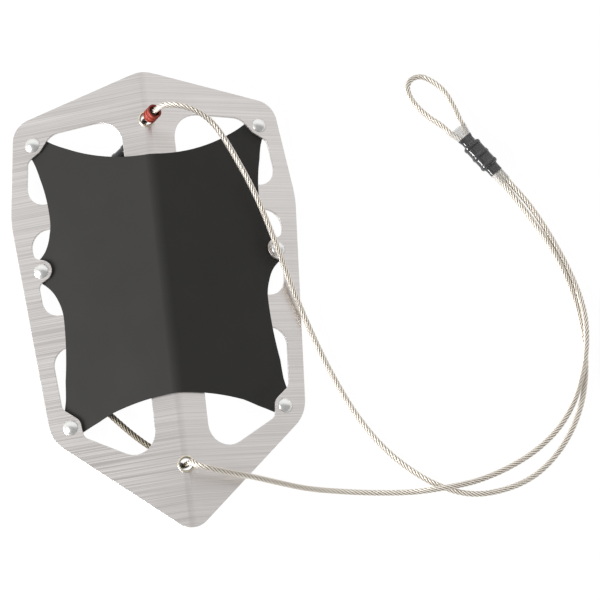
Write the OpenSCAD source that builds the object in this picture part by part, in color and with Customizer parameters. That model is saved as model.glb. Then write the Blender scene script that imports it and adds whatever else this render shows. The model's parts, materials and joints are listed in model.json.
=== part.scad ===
// Snow fluke anchor: a bent aluminium plate with a riveted black sheet and a wire cable bridle.
// Millimetres. The plate lies on the floor with its ridge up, the spine along Y and the top end at +Y.

/* [Plate] */
// Thickness of the plate
plate_t = 2; // [1.5:0.1:3]
// Fall of each wing from level, either side of the ridge
wing_tilt = 18; // [12:0.5:24]
// Bend radius of the ridge, at the middle of the sheet
bend_r = 8; // [6:0.5:10]
// Top point of the outline on the ridge, before rounding
top_v = 159.4; // [150:0.1:170]
// Shoulder corner, out from the ridge
shoulder_u = 95.5; // [92:0.5:99]
// Shoulder corner, along the ridge
shoulder_v = 137; // [134:0.5:142]
// Widest corner, out from the ridge
kink_u = 103.7; // [101:0.1:110]
// Widest corner, along the ridge
kink_v = 68; // [60:0.5:76]
// Lower corner, out from the ridge
low_u = 90.2; // [88:0.1:95]
// Lower corner, along the ridge
low_v = -86.5; // [-92:0.5:-82]
// Bottom point of the outline on the ridge, before rounding
point_v = -162.3; // [-172:0.1:-155]
// Rounding of the top point
top_r = 42; // [30:1:60]
// Rounding of the shoulder corners
shoulder_r = 16; // [10:1:20]
// Rounding of the widest corners
kink_r = 80; // [40:5:120]
// Rounding of the lower corners
low_r = 26; // [16:1:32]
// Rounding of the bottom point
point_r = 14.5; // [10:0.5:18]

/* [Windows] */
// Width of the spine from the ridge to a window
spine_half = 18.5; // [16:0.5:20]
// Width of the outer rails beside the windows
rail_w = 11.4; // [9:0.1:12.5]
// Upper edge of the top windows at the spine, before rounding
window_top_v = 128.7; // [126:0.1:131]
// Fall of that edge from the spine to the ear
window_top_fall = 2.7; // [1:0.1:4]
// Middle of the upper bridges
bridge_hi_v = 68.2; // [64:0.1:71]
// Width of the upper bridges
bridge_hi_w = 18; // [12:0.5:20]
// Middle of the lower bridges
bridge_lo_v = -13.4; // [-17:0.1:-11]
// Width of the lower bridges
bridge_lo_w = 22.8; // [16:0.1:26]
// Lower inner corner of the bottom windows, along the ridge, before rounding
window_low_v = -114.5; // [-118:0.5:-110]
// Rounding of the windows at the bridges
window_r = 12; // [6:0.5:13]
// Rounding of the top windows beside the spine
window_top_r = 18; // [12:1:20]
// Rounding of the bottom windows beside the spine
window_low_r = 14; // [9:0.5:16]

/* [Rivet ears] */
// Top rivets, out from the ridge
rivet_top_u = 83; // [81:0.5:85]
// Top rivets, along the ridge
rivet_top_v = 121; // [119:0.5:123]
// Middle rivets, out from the ridge
rivet_mid_u = 85.5; // [83.5:0.5:87]
// Middle rivets, along the ridge
rivet_mid_v = 31; // [28:0.5:34]
// Low rivets, out from the ridge
rivet_low_u = 76; // [74.5:0.5:78]
// Low rivets, along the ridge
rivet_low_v = -79.5; // [-81:0.5:-78]
// Radius of the round ears, about their rivets
ear_r = 7.6; // [7:0.1:8.2]
// Run of a top ear along the window's upper edge, from its rivet
ear_top_run = 14; // [12:0.5:16]
// Run of a top ear along the rail, from its rivet
ear_rail_run = 11.5; // [10.5:0.5:13]
// Half width of the middle ears at the rail
ear_mid_half = 9.5; // [9:0.5:11]
// Run of a low ear along the rail, from its rivet
ear_low_run = 13.5; // [12:0.5:15]
// Outer corner of the bottom windows, in from the low rivet
ear_low_in = 8.5; // [7.5:0.5:9.5]
// Outer corner of the bottom windows, below the low rivet
ear_low_drop = 7.7; // [7:0.1:9]
// Rounding where the ears run into the rails
ear_root_r = 5; // [3:0.5:6]

/* [Sheet] */
// Thickness of the black sheet
sheet_t = 1; // [0.6:0.1:1.4]
// Bend radius of the sheet over the ridge, at its under face
sheet_bend_r = 13; // [10:0.5:14]
// Play between the sheet and the bridges
sheet_gap = 0.35; // [0.3:0.05:0.6]
// Upper edge of the sheet on the ridge
sheet_top_v = 98.5; // [95:0.5:102]
// Lower edge of the sheet on the ridge
sheet_low_v = -68; // [-72:0.5:-62]
// Radius of the sheet's tabs round the rivets
tab_r = 8; // [7:0.5:8]
// Narrowest place of the upper side waists, out from the ridge
waist_hi_u = 75.3; // [72:0.1:78]
// Narrowest place of the upper side waists, along the ridge
waist_hi_v = 64; // [60:0.5:68]
// Narrowest place of the lower side waists, out from the ridge
waist_lo_u = 72.5; // [69:0.1:75]
// Narrowest place of the lower side waists, along the ridge
waist_lo_v = -6; // [-12:0.5:0]
// Flat of the sheet round a top or middle rivet, under the ear
tab_flat_r = 13.5; // [13:0.5:14]
// Flat of the sheet round a low rivet, under the wider ear
tab_low_flat_r = 19; // [18:0.5:20]
// Length of the slope from the flat up onto the bridges
tab_slope = 12; // [10:0.5:12.5]

/* [Rivets] */
// Rivet shank diameter
shank_d = 4.8; // [4:0.1:5]
// Play between shank and hole, on the radius
shank_play = 0.05; // [0.02:0.01:0.1]
// Rivet head diameter
head_d = 10.5; // [9:0.1:11]
// Rivet head height
head_h = 2.7; // [2:0.1:3]
// Formed tail diameter
tail_d = 7; // [6.4:0.1:8]
// Formed tail height
tail_h = 1.8; // [1.2:0.1:2.2]
// Backing washer diameter
washer_d = 10.5; // [9:0.1:11]
// Backing washer thickness
washer_t = 0.8; // [0.5:0.1:1]

/* [Eyelets] */
// Upper eyelet, along the ridge
eyelet_top_v = 124; // [120:0.5:128]
// Lower eyelet, along the ridge
eyelet_low_v = -116; // [-119:0.5:-112]
// Eyelet bore
eyelet_bore = 8.4; // [8.2:0.1:8.8]
// Wall of the eyelet's barrel
eyelet_wall = 0.5; // [0.4:0.05:0.6]
// Diameter of the eyelet's front rim
eyelet_rim_d = 11.6; // [11.2:0.1:12.4]
// Height of the front rim over the ridge
eyelet_rim_h = 0.9; // [0.6:0.1:1]
// Diameter of the ring behind the plate
ring_d = 10.6; // [10:0.1:11]
// Least thickness of the ring behind the plate
ring_t = 0.4; // [0.3:0.05:0.6]
// Thickness of the barrel's rolled lip
lip_t = 0.45; // [0.3:0.05:0.6]
// Play between an eyelet, its hole and its ring
eyelet_play = 0.05; // [0.02:0.01:0.1]

/* [Cable] */
// Cable diameter
cable_d = 4; // [3:0.1:4.1]
// Play between the cable and a bore or sleeve, on the radius
cable_play = 0.1; // [0.06:0.01:0.15]
// Lean of the cable in the upper eyelet, toward the bridle
stop_lean = 24; // [18:0.5:26]
// Nod of the cable in the upper eyelet, toward the top
stop_nod = 6; // [0:0.5:8]
// Lean of the cable in the lower eyelet, toward the bridle
low_lean = 26; // [20:0.5:27]

/* [Stop] */
// Distance of the red stop from the hole's middle
stop_at = 4.8; // [4.7:0.1:6]
// Length of the red sleeve
stop_l = 8.4; // [8:0.1:10]
// Diameter of the red sleeve over its rings
stop_d = 10; // [9.4:0.1:10]
// Depth of the grooves between the rings
stop_groove = 0.5; // [0.3:0.05:0.6]
// Bore of the red sleeve
stop_bore = 7.2; // [6.8:0.1:7.6]
// Floor of the red sleeve under its ferrule
stop_floor = 0.6; // [0.5:0.05:0.8]
// Length of the ferrule inside the red sleeve
stop_ferrule_l = 4.6; // [4:0.1:5]

/* [Back ferrule] */
// Diameter of the ferrule behind the spine
back_ferrule_d = 8; // [7:0.1:8.6]
// Length of the ferrule behind the spine
back_ferrule_l = 20; // [16:0.5:22]
// Wall of its black sleeve
back_sleeve_wall = 1; // [0.6:0.1:1.2]
// Height of the sleeve's three ridges
back_ridge = 0.5; // [0.3:0.05:0.7]

/* [Eye] */
// Gap between the two strands in the eye ferrule
strand_gap = 0.3; // [0.2:0.05:0.5]
// Outer radius of the eye ferrule round each strand
eye_ferrule_r = 3.6; // [3.2:0.1:3.8]
// Length of the eye ferrule
eye_ferrule_l = 20; // [17:0.5:22]
// Wall of the black shrink sleeve
eye_black_wall = 0.6; // [0.4:0.05:0.8]
// Length of the black sleeve's necks past the ferrule
eye_black_neck = 7; // [5:0.5:8]
// Wall of the clear shrink sleeve
eye_clear_wall = 0.4; // [0.3:0.05:0.5]
// Length of the clear sleeve past the black one
eye_clear_neck = 8.5; // [6:0.5:10]
// Straight run of the strands past the ferrule, before they spread to the loop
eye_straight = 4; // [3:0.5:5]
// Spread of each strand from straight, toward the loop
eye_splay = 16; // [12:1:18]
// Height of the ridges pressed in the sleeves
eye_ridge = 0.5; // [0.3:0.05:0.6]
// Play between the ferrules and their sleeves
sleeve_play = 0.06; // [0.04:0.01:0.1]

/* [Hidden] */

$fn = 64;

// Colours
aluminium = "#C9C5C2";
bright = "#E2E2E0";
nickel = "#D8CDB8";
black_sheet = "#3A3937";
black_shrink = "#2B2D33";
red_rubber = "#A8412C";
milky = "#DEDCD6";
steel = "#CFC8BC";

far = 400;
arc_n = 8;
cable_r = cable_d / 2;
cable_sides = 8;

// Resting place: the straight edges between the widest and the lower corners lie on the floor
rest_pitch = atan((kink_u - low_u) * sin(wing_tilt) / (kink_v - low_v));
ridge_drop = bend_r * (1 / cos(wing_tilt) - 1);
edge_drop = kink_u * sin(wing_tilt) + plate_t / 2 * cos(wing_tilt);
seat_h = edge_drop * cos(rest_pitch) - kink_v * sin(rest_pitch);

// Half angles turned at the top and bottom points give how far their rounding cuts in
top_slope = atan((top_v - shoulder_v) / shoulder_u);
point_slope = atan((low_v - point_v) / low_u);
top_end = top_v - top_r * (1 / cos(top_slope) - 1);
point_end = point_v + point_r * (1 / cos(point_slope) - 1);
seat_y = -(top_end + point_end) / 2 * cos(rest_pitch);

// Levels over the plate's middle plane, along a wing's normal
plate_top = plate_t / 2;
sheet_main = plate_top + sheet_gap + sheet_t / 2;
sheet_tab = -plate_top - sheet_t / 2;
washer_top = -plate_top - sheet_t;

// Cable hole centres in the plate's frame: they lie on the middle of the sheet at the ridge
hole_top = [0, eyelet_top_v, -ridge_drop];
hole_low = [0, eyelet_low_v, -ridge_drop];
hole_r = eyelet_bore / 2 + eyelet_wall + eyelet_play;

rivets = [[rivet_top_u, rivet_top_v], [rivet_mid_u, rivet_mid_v], [rivet_low_u, rivet_low_v]];

// The eye's ferrule on the floor: its middle, its turn about Z, and the height of its axis
eye_x = 233.5;
eye_y = 86;
eye_turn = 124;
strand_half = (cable_d + strand_gap) / 2;
eye_black_r = eye_ferrule_r + sleeve_play + eye_black_wall;
eye_clear_r = eye_black_r + sleeve_play + eye_clear_wall;
eye_z = eye_clear_r + eye_ridge;
eye_black_half = eye_ferrule_l / 2 + eye_black_neck;
eye_clear_half = eye_black_half + eye_clear_neck;
eye_body_half = eye_ferrule_l / 2 + eye_black_wall;
eye_neck_r = cable_r + 2 * cable_play;
eye_black_neck_r = eye_neck_r + eye_black_wall;
eye_spread = eye_ferrule_l / 2 + eye_straight;

// The ferrule behind the spine: its middle, its turn about Z and its rise toward the upper eyelet
back_at = [-21.5, 104, 12.5];
back_turn = 34;
back_rise = 24;

// A vector from the plate's frame to the floor's frame
function seated(p) = [
    p.x,
    p.y * cos(rest_pitch) - p.z * sin(rest_pitch) + seat_y,
    p.y * sin(rest_pitch) + p.z * cos(rest_pitch) + seat_h
];

// Directions of the cable through the two eyelets, in the plate's frame
stop_dir = [cos(stop_nod) * sin(stop_lean), sin(stop_nod), cos(stop_nod) * cos(stop_lean)];
low_dir = [sin(low_lean), 0, cos(low_lean)];
back_dir = [cos(back_rise) * cos(back_turn), cos(back_rise) * sin(back_turn), sin(back_rise)];

// Points at a distance along the stop, the lower hole, the ferrule behind and the eye
function at_stop(s) = seated(hole_top + s * stop_dir);
function at_low(s) = seated(hole_low + s * low_dir);
function at_back(s) = back_at + s * back_dir;
function at_eye(s, side) = [
    eye_x + s * cos(eye_turn) - side * sin(eye_turn),
    eye_y + s * sin(eye_turn) + side * cos(eye_turn),
    eye_z
];

// A point of a spread strand, at a distance past where the spread begins
function at_splay(s, side) =
    at_eye(eye_spread + s * cos(eye_splay), side * (strand_half + s * sin(eye_splay)));

// Where the fixed cable ends and the swinging legs begin, over a hole's middle
leg_start = 3;
low_leg_start = 4;
// Straight run of the cable under a hole's middle
under_run = 5.5;
// Run of the spread strands, past the clear sleeve's end
splay_run = (eye_clear_half - eye_spread) / cos(eye_splay) + 1;
// Half the gap between the two cable ends inside the ferrule behind
butt = 1;

// Routes of the cable, chosen by hand along its run on the floor and over the plate
upper_route = [
    at_stop(leg_start), at_stop(stop_at + stop_l + stop_floor), [11, 125.5, 55.5], [20.5, 124.3, 60],
    [33, 118.9, 56.5], [44.2, 110.4, 47.5], [60.5, 84.3, 31], [70.8, 61.2, 20.5], [79, 35, 13.5],
    [87.5, 1, 9], [97, -30, 4], [106.5, -58, 2.1], [121.5, -92.5, 2.1], [140, -120, 2.1],
    [165, -142, 2.1], [189, -152.5, 2.1], [212.5, -152.5, 2.1], [236, -145, 2.1],
    [257, -128.5, 2.1], [273, -106, 2.1], [282.5, -80, 2.1], [286, -47, 2.1],
    [283, -18.5, 2.1], [274.5, 11.5, 2.1], [259.5, 42, 3],
    at_eye(-eye_clear_half, strand_half), at_eye(eye_ferrule_l / 2, strand_half)
];
lower_route = [
    at_low(low_leg_start), at_low(2 * low_leg_start), [6.5, -119.5, 38], [12, -121.5, 38.2],
    [19, -123.5, 35.5], [31, -126, 29], [46, -129.2, 21], [62, -133.2, 13.5], [79, -137.3, 7],
    [97, -140.4, 3], [125, -144.7, 2.1], [150, -147.3, 3.6], [164, -147.6, 5.9], [173.5, -147.2, 6.4],
    [183, -146.5, 6], [198, -144, 3.8], [220, -137.2, 2.1], [241, -127, 2.1],
    [258, -114, 2.1], [270, -99.3, 2.3], [277.5, -84.5, 4.6], [284, -66, 6.3],
    [287.7, -47.5, 6], [288.4, -32.5, 4.6], [286.3, -15, 2.4], [278, 13, 2.1], [264, 44.5, 3],
    at_eye(-eye_clear_half, -strand_half), at_eye(eye_ferrule_l / 2, -strand_half)
];
tail_route = [
    at_stop(leg_start), at_stop(-under_run), [-4.5, 119, 23], [-8.5, 113.4, 19.7],
    at_back(back_ferrule_l / 2), at_back(butt)
];
bow_route = [
    at_back(-butt), at_back(-back_ferrule_l / 2), [-39, 89.5, 4.9], [-48.5, 73.5, 2.8],
    [-57.5, 43, 2.1], [-62.5, 6, 2.1], [-62, -30, 2.1], [-53, -61, 2.4], [-38, -81.5, 6],
    [-23, -97.8, 12], [-10, -108.5, 16.5], at_low(-under_run), at_low(low_leg_start)
];
loop_route = [
    at_eye(eye_ferrule_l / 2, strand_half), at_eye(eye_spread, strand_half), at_splay(splay_run, 1),
    [209.5, 110.5, 4.4], [201.5, 118, 3.8], [195, 126, 3.2], [190.5, 134.5, 2.7],
    [189.5, 143, 2.3], [193, 148.5, 2.2], [200, 150, 2.2], [208, 145.5, 2.3], [215, 137.5, 2.6],
    [220, 125.5, 3.2], at_splay(splay_run, -1), at_eye(eye_spread, -strand_half),
    at_eye(eye_ferrule_l / 2, -strand_half)
];

// Arc of n steps that rounds corner p between its neighbours a and b
function rounded_corner(a, p, b, r, n) =
    let (
        d0 = (a - p) / norm(a - p),
        d1 = (b - p) / norm(b - p),
        half = acos(d0 * d1) / 2,
        mid = (d0 + d1) / norm(d0 + d1),
        centre = p + mid * (r / sin(half)),
        from = p + d0 * (r / tan(half)) - centre,
        turn = 180 - 2 * half,
        sense = d0.x * d1.y - d0.y * d1.x > 0 ? -1 : 1
    )
    [for (i = [0 : n]) let (t = sense * turn * i / n)
        centre + [from.x * cos(t) - from.y * sin(t), from.x * sin(t) + from.y * cos(t)]];

// Outline through corners given as [u, v, radius], with every corner rounded
function rounded_outline(c) =
    let (n = len(c))
    [for (i = [0 : n - 1])
        let (a = c[(i + n - 1) % n], p = c[i], b = c[(i + 1) % n])
        each rounded_corner([a.x, a.y], [p.x, p.y], [b.x, b.y], p.z, arc_n)];

// Arc from the waist w, where the edge runs along the ridge, to the point p further out
function waist_arc(w, p, n) =
    let (
        out = p.x - w.x,
        along = p.y - w.y,
        r = (out * out + along * along) / (2 * out),
        turn = asin(along / r)
    )
    [for (i = [0 : n]) [w.x + r - r * cos(turn * i / n), w.y + r * sin(turn * i / n)]];

// A list of points the other way round
function turned(points) = [for (i = [len(points) - 1 : -1 : 0]) points[i]];

// A list of points without its first
function past_first(points) = [for (i = [1 : len(points) - 1]) points[i]];

// Arc from the ridge at height v0, level there, to the point p on a wing
function crest_arc(v0, p, n) =
    let (r = (p.x * p.x + (p.y - v0) * (p.y - v0)) / (2 * (p.y - v0)), turn = asin(p.x / r))
    [for (i = [0 : n]) [r * sin(turn * i / n), v0 + r - r * cos(turn * i / n)]];

// Inner edge of the outer rail at height v, parallel to the plate's edge
function rail_u(v) =
    (v > kink_v
        ? kink_u + (v - kink_v) * (shoulder_u - kink_u) / (shoulder_v - kink_v)
        : kink_u + (v - kink_v) * (low_u - kink_u) / (low_v - kink_v)) - rail_w;

// Half outline of the plate, taken past the ridge so that each end point rounds as a whole
plate_corners = [
    [0, top_v, top_r], [shoulder_u, shoulder_v, shoulder_r], [kink_u, kink_v, kink_r],
    [low_u, low_v, low_r], [0, point_v, point_r], [-low_u, low_v, low_r],
    [-kink_u, kink_v, kink_r], [-shoulder_u, shoulder_v, shoulder_r]
];

// Corner where the lines from a and b that touch an ear's round tip meet, the ear lying to their left
function ear_corner(rivet, a, b) =
    let (
        to_a = rivet - a,
        to_b = rivet - b,
        angle_a = atan2(to_a.y, to_a.x) - asin(ear_r / norm(to_a)),
        angle_b = atan2(to_b.y, to_b.x) + asin(ear_r / norm(to_b)),
        way_a = [cos(angle_a), sin(angle_a)],
        way_b = [cos(angle_b), sin(angle_b)],
        gap = b - a,
        run = (gap.x * way_b.y - gap.y * way_b.x) / (way_a.x * way_b.y - way_a.y * way_b.x),
        p = a + run * way_a
    )
    [p.x, p.y, ear_r];

// Point on the inner edge of the rail at height v
function on_rail(v) = [rail_u(v), v];

// A point with a radius, for a rounded outline
function with_r(p, r) = [p.x, p.y, r];

top_ear_in = [rivet_top_u - ear_top_run, window_top_v - window_top_fall];
top_ear_out = on_rail(rivet_top_v - ear_rail_run);
mid_ear_top = on_rail(rivet_mid_v + ear_mid_half);
mid_ear_low = on_rail(rivet_mid_v - ear_mid_half);
low_ear_out = on_rail(rivet_low_v + ear_low_run);
low_ear_in = [rivet_low_u - ear_low_in, rivet_low_v - ear_low_drop];

top_window = [
    [spine_half, bridge_hi_v + bridge_hi_w / 2, window_r],
    [spine_half, window_top_v, window_top_r],
    with_r(top_ear_in, 2.5 * ear_root_r),
    ear_corner(rivets[0], top_ear_in, top_ear_out),
    with_r(top_ear_out, ear_root_r),
    with_r(on_rail(bridge_hi_v + bridge_hi_w / 2), window_r)
];
middle_window = [
    [spine_half, bridge_lo_v + bridge_lo_w / 2, window_r],
    [spine_half, bridge_hi_v - bridge_hi_w / 2, window_r],
    with_r(on_rail(bridge_hi_v - bridge_hi_w / 2), window_r),
    with_r(mid_ear_top, ear_root_r),
    ear_corner(rivets[1], mid_ear_top, mid_ear_low),
    with_r(mid_ear_low, ear_root_r),
    with_r(on_rail(bridge_lo_v + bridge_lo_w / 2), window_r)
];
bottom_window = [
    [spine_half, window_low_v, window_low_r],
    [spine_half, bridge_lo_v - bridge_lo_w / 2, window_r],
    with_r(on_rail(bridge_lo_v - bridge_lo_w / 2), window_r),
    with_r(low_ear_out, ear_root_r),
    ear_corner(rivets[2], low_ear_out, low_ear_in),
    with_r(low_ear_in, ear_root_r)
];

// How far the sheet's edges end inside the rims of its round tabs
tab_bite = 0.4;

// A point a little inside the rim of a sheet tab, at an angle from straight out
function tab_point(rivet, angle) = rivet + (tab_r - tab_bite) * [cos(angle), sin(angle)];

// Half outline of the sheet, from the ridge at the top round by the tabs to the ridge at the bottom
waist_hi = [waist_hi_u, waist_hi_v];
waist_lo = [waist_lo_u, waist_lo_v];
sheet_right = concat(
    crest_arc(sheet_top_v, tab_point(rivets[0], 143), 2 * arc_n),
    turned(waist_arc(waist_hi, tab_point(rivets[0], -66), 2 * arc_n)),
    past_first(waist_arc(waist_hi, tab_point(rivets[1], 68), 2 * arc_n)),
    turned(waist_arc(waist_lo, tab_point(rivets[1], -66), 2 * arc_n)),
    past_first(waist_arc(waist_lo, tab_point(rivets[2], 48), 2 * arc_n)),
    turned(crest_arc(sheet_low_v, tab_point(rivets[2], 223), 2 * arc_n))
);
sheet_mid_r = sheet_bend_r + sheet_t / 2;
tab_flats = [tab_flat_r, tab_flat_r, tab_low_flat_r];

// Put the plate's frame on the floor
module seat() {
    translate([0, seat_y, seat_h]) rotate([rest_pitch, 0, 0]) children();
}

// Children drawn on the right wing's middle plane, X out from the ridge, Y along it
module right_wing() {
    rotate([0, wing_tilt, 0]) children();
}

// Section line of a bent sheet's face, from x = -reach over the ridge to x = reach
function ridge_line(level, r, reach) =
    let (
        centre_z = (level - r) / cos(wing_tilt),
        edge_z = centre_z + r / cos(wing_tilt) - reach * tan(wing_tilt),
        n = arc_n
    )
    concat(
        [[-reach, edge_z]],
        [for (i = [0 : n]) let (t = wing_tilt * (2 * i / n - 1)) [r * sin(t), centre_z + r * cos(t)]],
        [[reach, edge_z]]
    );

// Section drawn in X and Z, drawn out along the ridge
module along_ridge(section) {
    rotate([90, 0, 0]) linear_extrude(far, center = true) polygon(section);
}

// Everything under a ridge's face, out to a reach to the sides and down
module under_ridge(level, r, reach = far / 2) {
    along_ridge(concat([[-reach, -reach]], ridge_line(level, r, reach), [[reach, -reach]]));
}

// Sheet of thickness t bent over the ridge, level and r being those of its middle
module bent_sheet(level, t, r) {
    upper = ridge_line(level + t / 2, r + t / 2, far / 2);
    under = ridge_line(level - t / 2, r - t / 2, far / 2);
    along_ridge(concat(upper, [for (i = [len(under) - 1 : -1 : 0]) under[i]]));
}

// What lies outside a flat outline on both wings, taken a little past the ridge
module outside_wings() {
    past = 1;
    for (side = [0, 1]) mirror([side, 0, 0]) right_wing() linear_extrude(far / 4, center = true)
        difference() {
            translate([-past, -far / 2]) square([far, far]);
            children();
        }
}

// Holes of a given radius through the wings at the rivets
module rivet_holes(r) {
    for (side = [0, 1]) mirror([side, 0, 0]) right_wing()
        for (p = rivets) translate([p.x, p.y, 0]) cylinder(h = far / 10, r = r, center = true);
}

module frame_plate() color(aluminium) seat() difference() {
    bent_sheet(0, plate_t, bend_r);
    outside_wings() polygon(rounded_outline(plate_corners));
    for (side = [0, 1]) mirror([side, 0, 0]) right_wing()
        for (w = [top_window, middle_window, bottom_window])
            linear_extrude(far / 10, center = true) polygon(rounded_outline(w));
    rivet_holes(shank_d / 2 + shank_play);
    for (h = [hole_top, hole_low]) translate(h) cylinder(h = far / 10, r = hole_r, center = true);
}

// Sheet outline, flat, both wings
module sheet_flat() {
    polygon(concat(
        sheet_right,
        [for (i = [len(sheet_right) - 2 : -1 : 1]) [-sheet_right[i].x, sheet_right[i].y]]
    ));
    for (p = rivets, side = [-1, 1]) translate([side * p.x, p.y]) circle(tab_r);
}

// Everything over one face of the sheet's tabs: flat under the ears, then a cone up past the bridges
module over_tabs(face) {
    reach = 1.5 * tab_slope;
    top = face + reach * (sheet_main - sheet_tab) / tab_slope;
    for (side = [0, 1]) mirror([side, 0, 0]) right_wing()
        for (i = [0 : 2]) translate(rivets[i]) rotate_extrude($fn = 96)
            polygon([[0, face], [tab_flats[i], face], [tab_flats[i] + reach, top], [0, top]]);
}

// Everything under one face of the sheet, h from its middle
module under_sheet(h, reach) {
    difference() {
        under_ridge(sheet_main + h, sheet_mid_r + h, reach);
        over_tabs(sheet_tab + h);
    }
}

module snow_panel() color(black_sheet) seat() difference() {
    under_sheet(sheet_t / 2, far / 3);
    under_sheet(-sheet_t / 2, far / 2);
    outside_wings() sheet_flat();
    rivet_holes(shank_d / 2 + shank_play);
}

// Children at one rivet: its row from the top, and its side, right being 1
module at_rivet(row, side) {
    seat() mirror([side > 0 ? 0 : 1, 0, 0]) right_wing() translate(rivets[row]) children();
}

// Domed rivet with its shank and formed tail
module rivet(row, side) color(bright) at_rivet(row, side) {
    dome_r = (head_h * head_h + head_d * head_d / 4) / (2 * head_h);
    tail_top = washer_top - washer_t;
    intersection() {
        translate([0, 0, plate_top + head_h - dome_r]) sphere(dome_r, $fn = 96);
        translate([0, 0, plate_top]) cylinder(h = head_h + 1, d = head_d);
    }
    translate([0, 0, tail_top]) cylinder(h = plate_top - tail_top, d = shank_d);
    translate([0, 0, tail_top - tail_h]) cylinder(h = tail_h, d = tail_d);
}

// Backing washer between the sheet and a rivet's tail
module washer(row, side) color(bright) at_rivet(row, side) difference() {
    translate([0, 0, washer_top - washer_t]) cylinder(h = washer_t, d = washer_d);
    translate([0, 0, washer_top - 2 * washer_t]) cylinder(h = 3 * washer_t, r = shank_d / 2 + shank_play);
}

// Underside of the plate at the ring's rim, and the faces below it, in the plate's frame
ring_side_z = -(ring_d / 2) * tan(wing_tilt) - plate_top / cos(wing_tilt);
ring_bottom_z = ring_side_z - ring_t;

// Eyelet: a barrel through the plate, a rounded front rim that sits on the ridge, a rolled lip behind
module eyelet(hole) color(nickel) seat() {
    rim_top = plate_top - ridge_drop + eyelet_rim_h;
    rim_round = (eyelet_rim_d - eyelet_bore) / 4;
    barrel_r = eyelet_bore / 2 + eyelet_wall;
    translate([0, hole.y, 0]) {
        difference() {
            rotate_extrude() {
                translate([eyelet_bore / 2, ring_side_z])
                    square([2 * rim_round, rim_top - rim_round - ring_side_z]);
                translate([eyelet_bore / 2 + rim_round, rim_top - rim_round]) circle(rim_round, $fn = 48);
            }
            under_ridge(plate_top, bend_r + plate_top);
        }
        difference() {
            union() {
                translate([0, 0, ring_bottom_z])
                    cylinder(h = rim_top - rim_round - ring_bottom_z, r = barrel_r);
                translate([0, 0, ring_bottom_z - lip_t]) cylinder(h = lip_t, d = ring_d - 2 * ring_t);
            }
            translate([0, 0, ring_bottom_z - far / 10]) cylinder(h = far / 5, d = eyelet_bore);
        }
    }
}

// Ring behind the plate, cut to the inside of the bend
module eyelet_ring(hole) color(nickel) seat() translate([0, hole.y, 0]) intersection() {
    under_ridge(-plate_top, bend_r - plate_top);
    translate([0, 0, ring_bottom_z]) difference() {
        cylinder(h = -ring_bottom_z, d = ring_d);
        translate([0, 0, ring_bottom_z]) cylinder(h = far / 5, r = hole_r);
    }
}

// Children along the cable's axis at the upper eyelet, Z out of the hole
module on_stop() {
    seat() translate(hole_top) rotate([-stop_nod, stop_lean, 0]) translate([0, 0, stop_at]) children();
}

stop_ring = stop_l / 7;

module stop_ferrule() color(bright) on_stop() difference() {
    translate([0, 0, stop_floor]) cylinder(h = stop_ferrule_l, d = stop_bore - 2 * sleeve_play);
    cylinder(h = far, r = cable_r + cable_play, center = true);
}

// Red sleeve: rings at both ends and in the middle, grooves between, an open bore past the ferrule
module red_stop_sleeve() color(red_rubber) on_stop() difference() {
    union() {
        cylinder(h = stop_l, d = stop_d - 2 * stop_groove);
        for (z = [0, 3, 6]) translate([0, 0, z * stop_ring]) cylinder(h = stop_ring, d = stop_d);
    }
    translate([0, 0, stop_floor - sleeve_play]) cylinder(h = far, d = stop_bore);
    cylinder(h = far, r = cable_r + 2 * cable_play, center = true);
}

// Children along the ferrule behind the spine, Z toward the upper eyelet
module on_back() {
    translate(back_at) rotate([0, 90 - back_rise, back_turn]) children();
}

module back_ferrule() color(bright) on_back() difference() {
    cylinder(h = back_ferrule_l, d = back_ferrule_d, center = true);
    cylinder(h = far, r = cable_r + cable_play, center = true);
}

// Black sleeve over the ferrule behind the spine, with three ridges
module back_sleeve() color(black_shrink) on_back() {
    inner_r = back_ferrule_d / 2 + sleeve_play;
    outer_r = inner_r + back_sleeve_wall;
    ridge_w = back_ferrule_l / 8;
    difference() {
        union() {
            cylinder(h = back_ferrule_l + 2 * back_sleeve_wall, r = outer_r, center = true);
            for (i = [-1, 0, 1]) translate([0, 0, i * (back_ferrule_l - ridge_w) / 2])
                cylinder(h = ridge_w, r = outer_r + back_ridge, center = true);
        }
        cylinder(h = back_ferrule_l + 2 * sleeve_play, r = inner_r, center = true);
        cylinder(h = far, r = cable_r + cable_play, center = true);
    }
}

// Children in the eye's frame: X along the strands toward the loop, Y across them
module on_eye() {
    translate([eye_x, eye_y, eye_z]) rotate([0, 0, eye_turn]) children();
}

// Bar of stadium section round the two strands, between two places along X
module strand_bar(r, from, to) {
    translate([from, 0, 0]) rotate([90, 0, 90]) linear_extrude(to - from) {
        for (s = [-1, 1]) translate([s * strand_half, 0]) circle(r);
        square([2 * strand_half, 2 * r], center = true);
    }
}

module eye_ferrule() color(bright) on_eye() difference() {
    strand_bar(eye_ferrule_r, -eye_ferrule_l / 2, eye_ferrule_l / 2);
    for (s = [-1, 1]) translate([0, s * strand_half, 0])
        rotate([0, 90, 0]) cylinder(h = far, r = cable_r + cable_play, center = true);
}

// Half the distance between the strands at a place along X: they spread toward the loop
function strand_spread(x) = strand_half + max(0, x - eye_spread) * tan(eye_splay);

// Skin of stadium sections round the two strands, through stations given as [x, radius]
module eye_skin(stations) {
    n = 12;
    k = 2 * (n + 1);
    points = [for (q = stations) for (side = [1, -1]) for (i = [0 : n])
        let (a = 180 * i / n - 90 * side)
        [q.x, side * strand_spread(q.x) + q.y * cos(a), q.y * sin(a)]];
    polyhedron(points = points, faces = skin_faces(len(stations), k));
}

// Steps of the three bands over the ferrule, each grown at both ends
function ridge_steps(r, grow) =
    let (band = eye_ferrule_l / 8, h = band / 2 + grow)
    [for (i = [-1, 0, 1]) let (c = i * (eye_ferrule_l - band) / 2)
        each [[c - h, r], [c - h, r + eye_ridge], [c + h, r + eye_ridge], [c + h, r]]];

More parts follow.
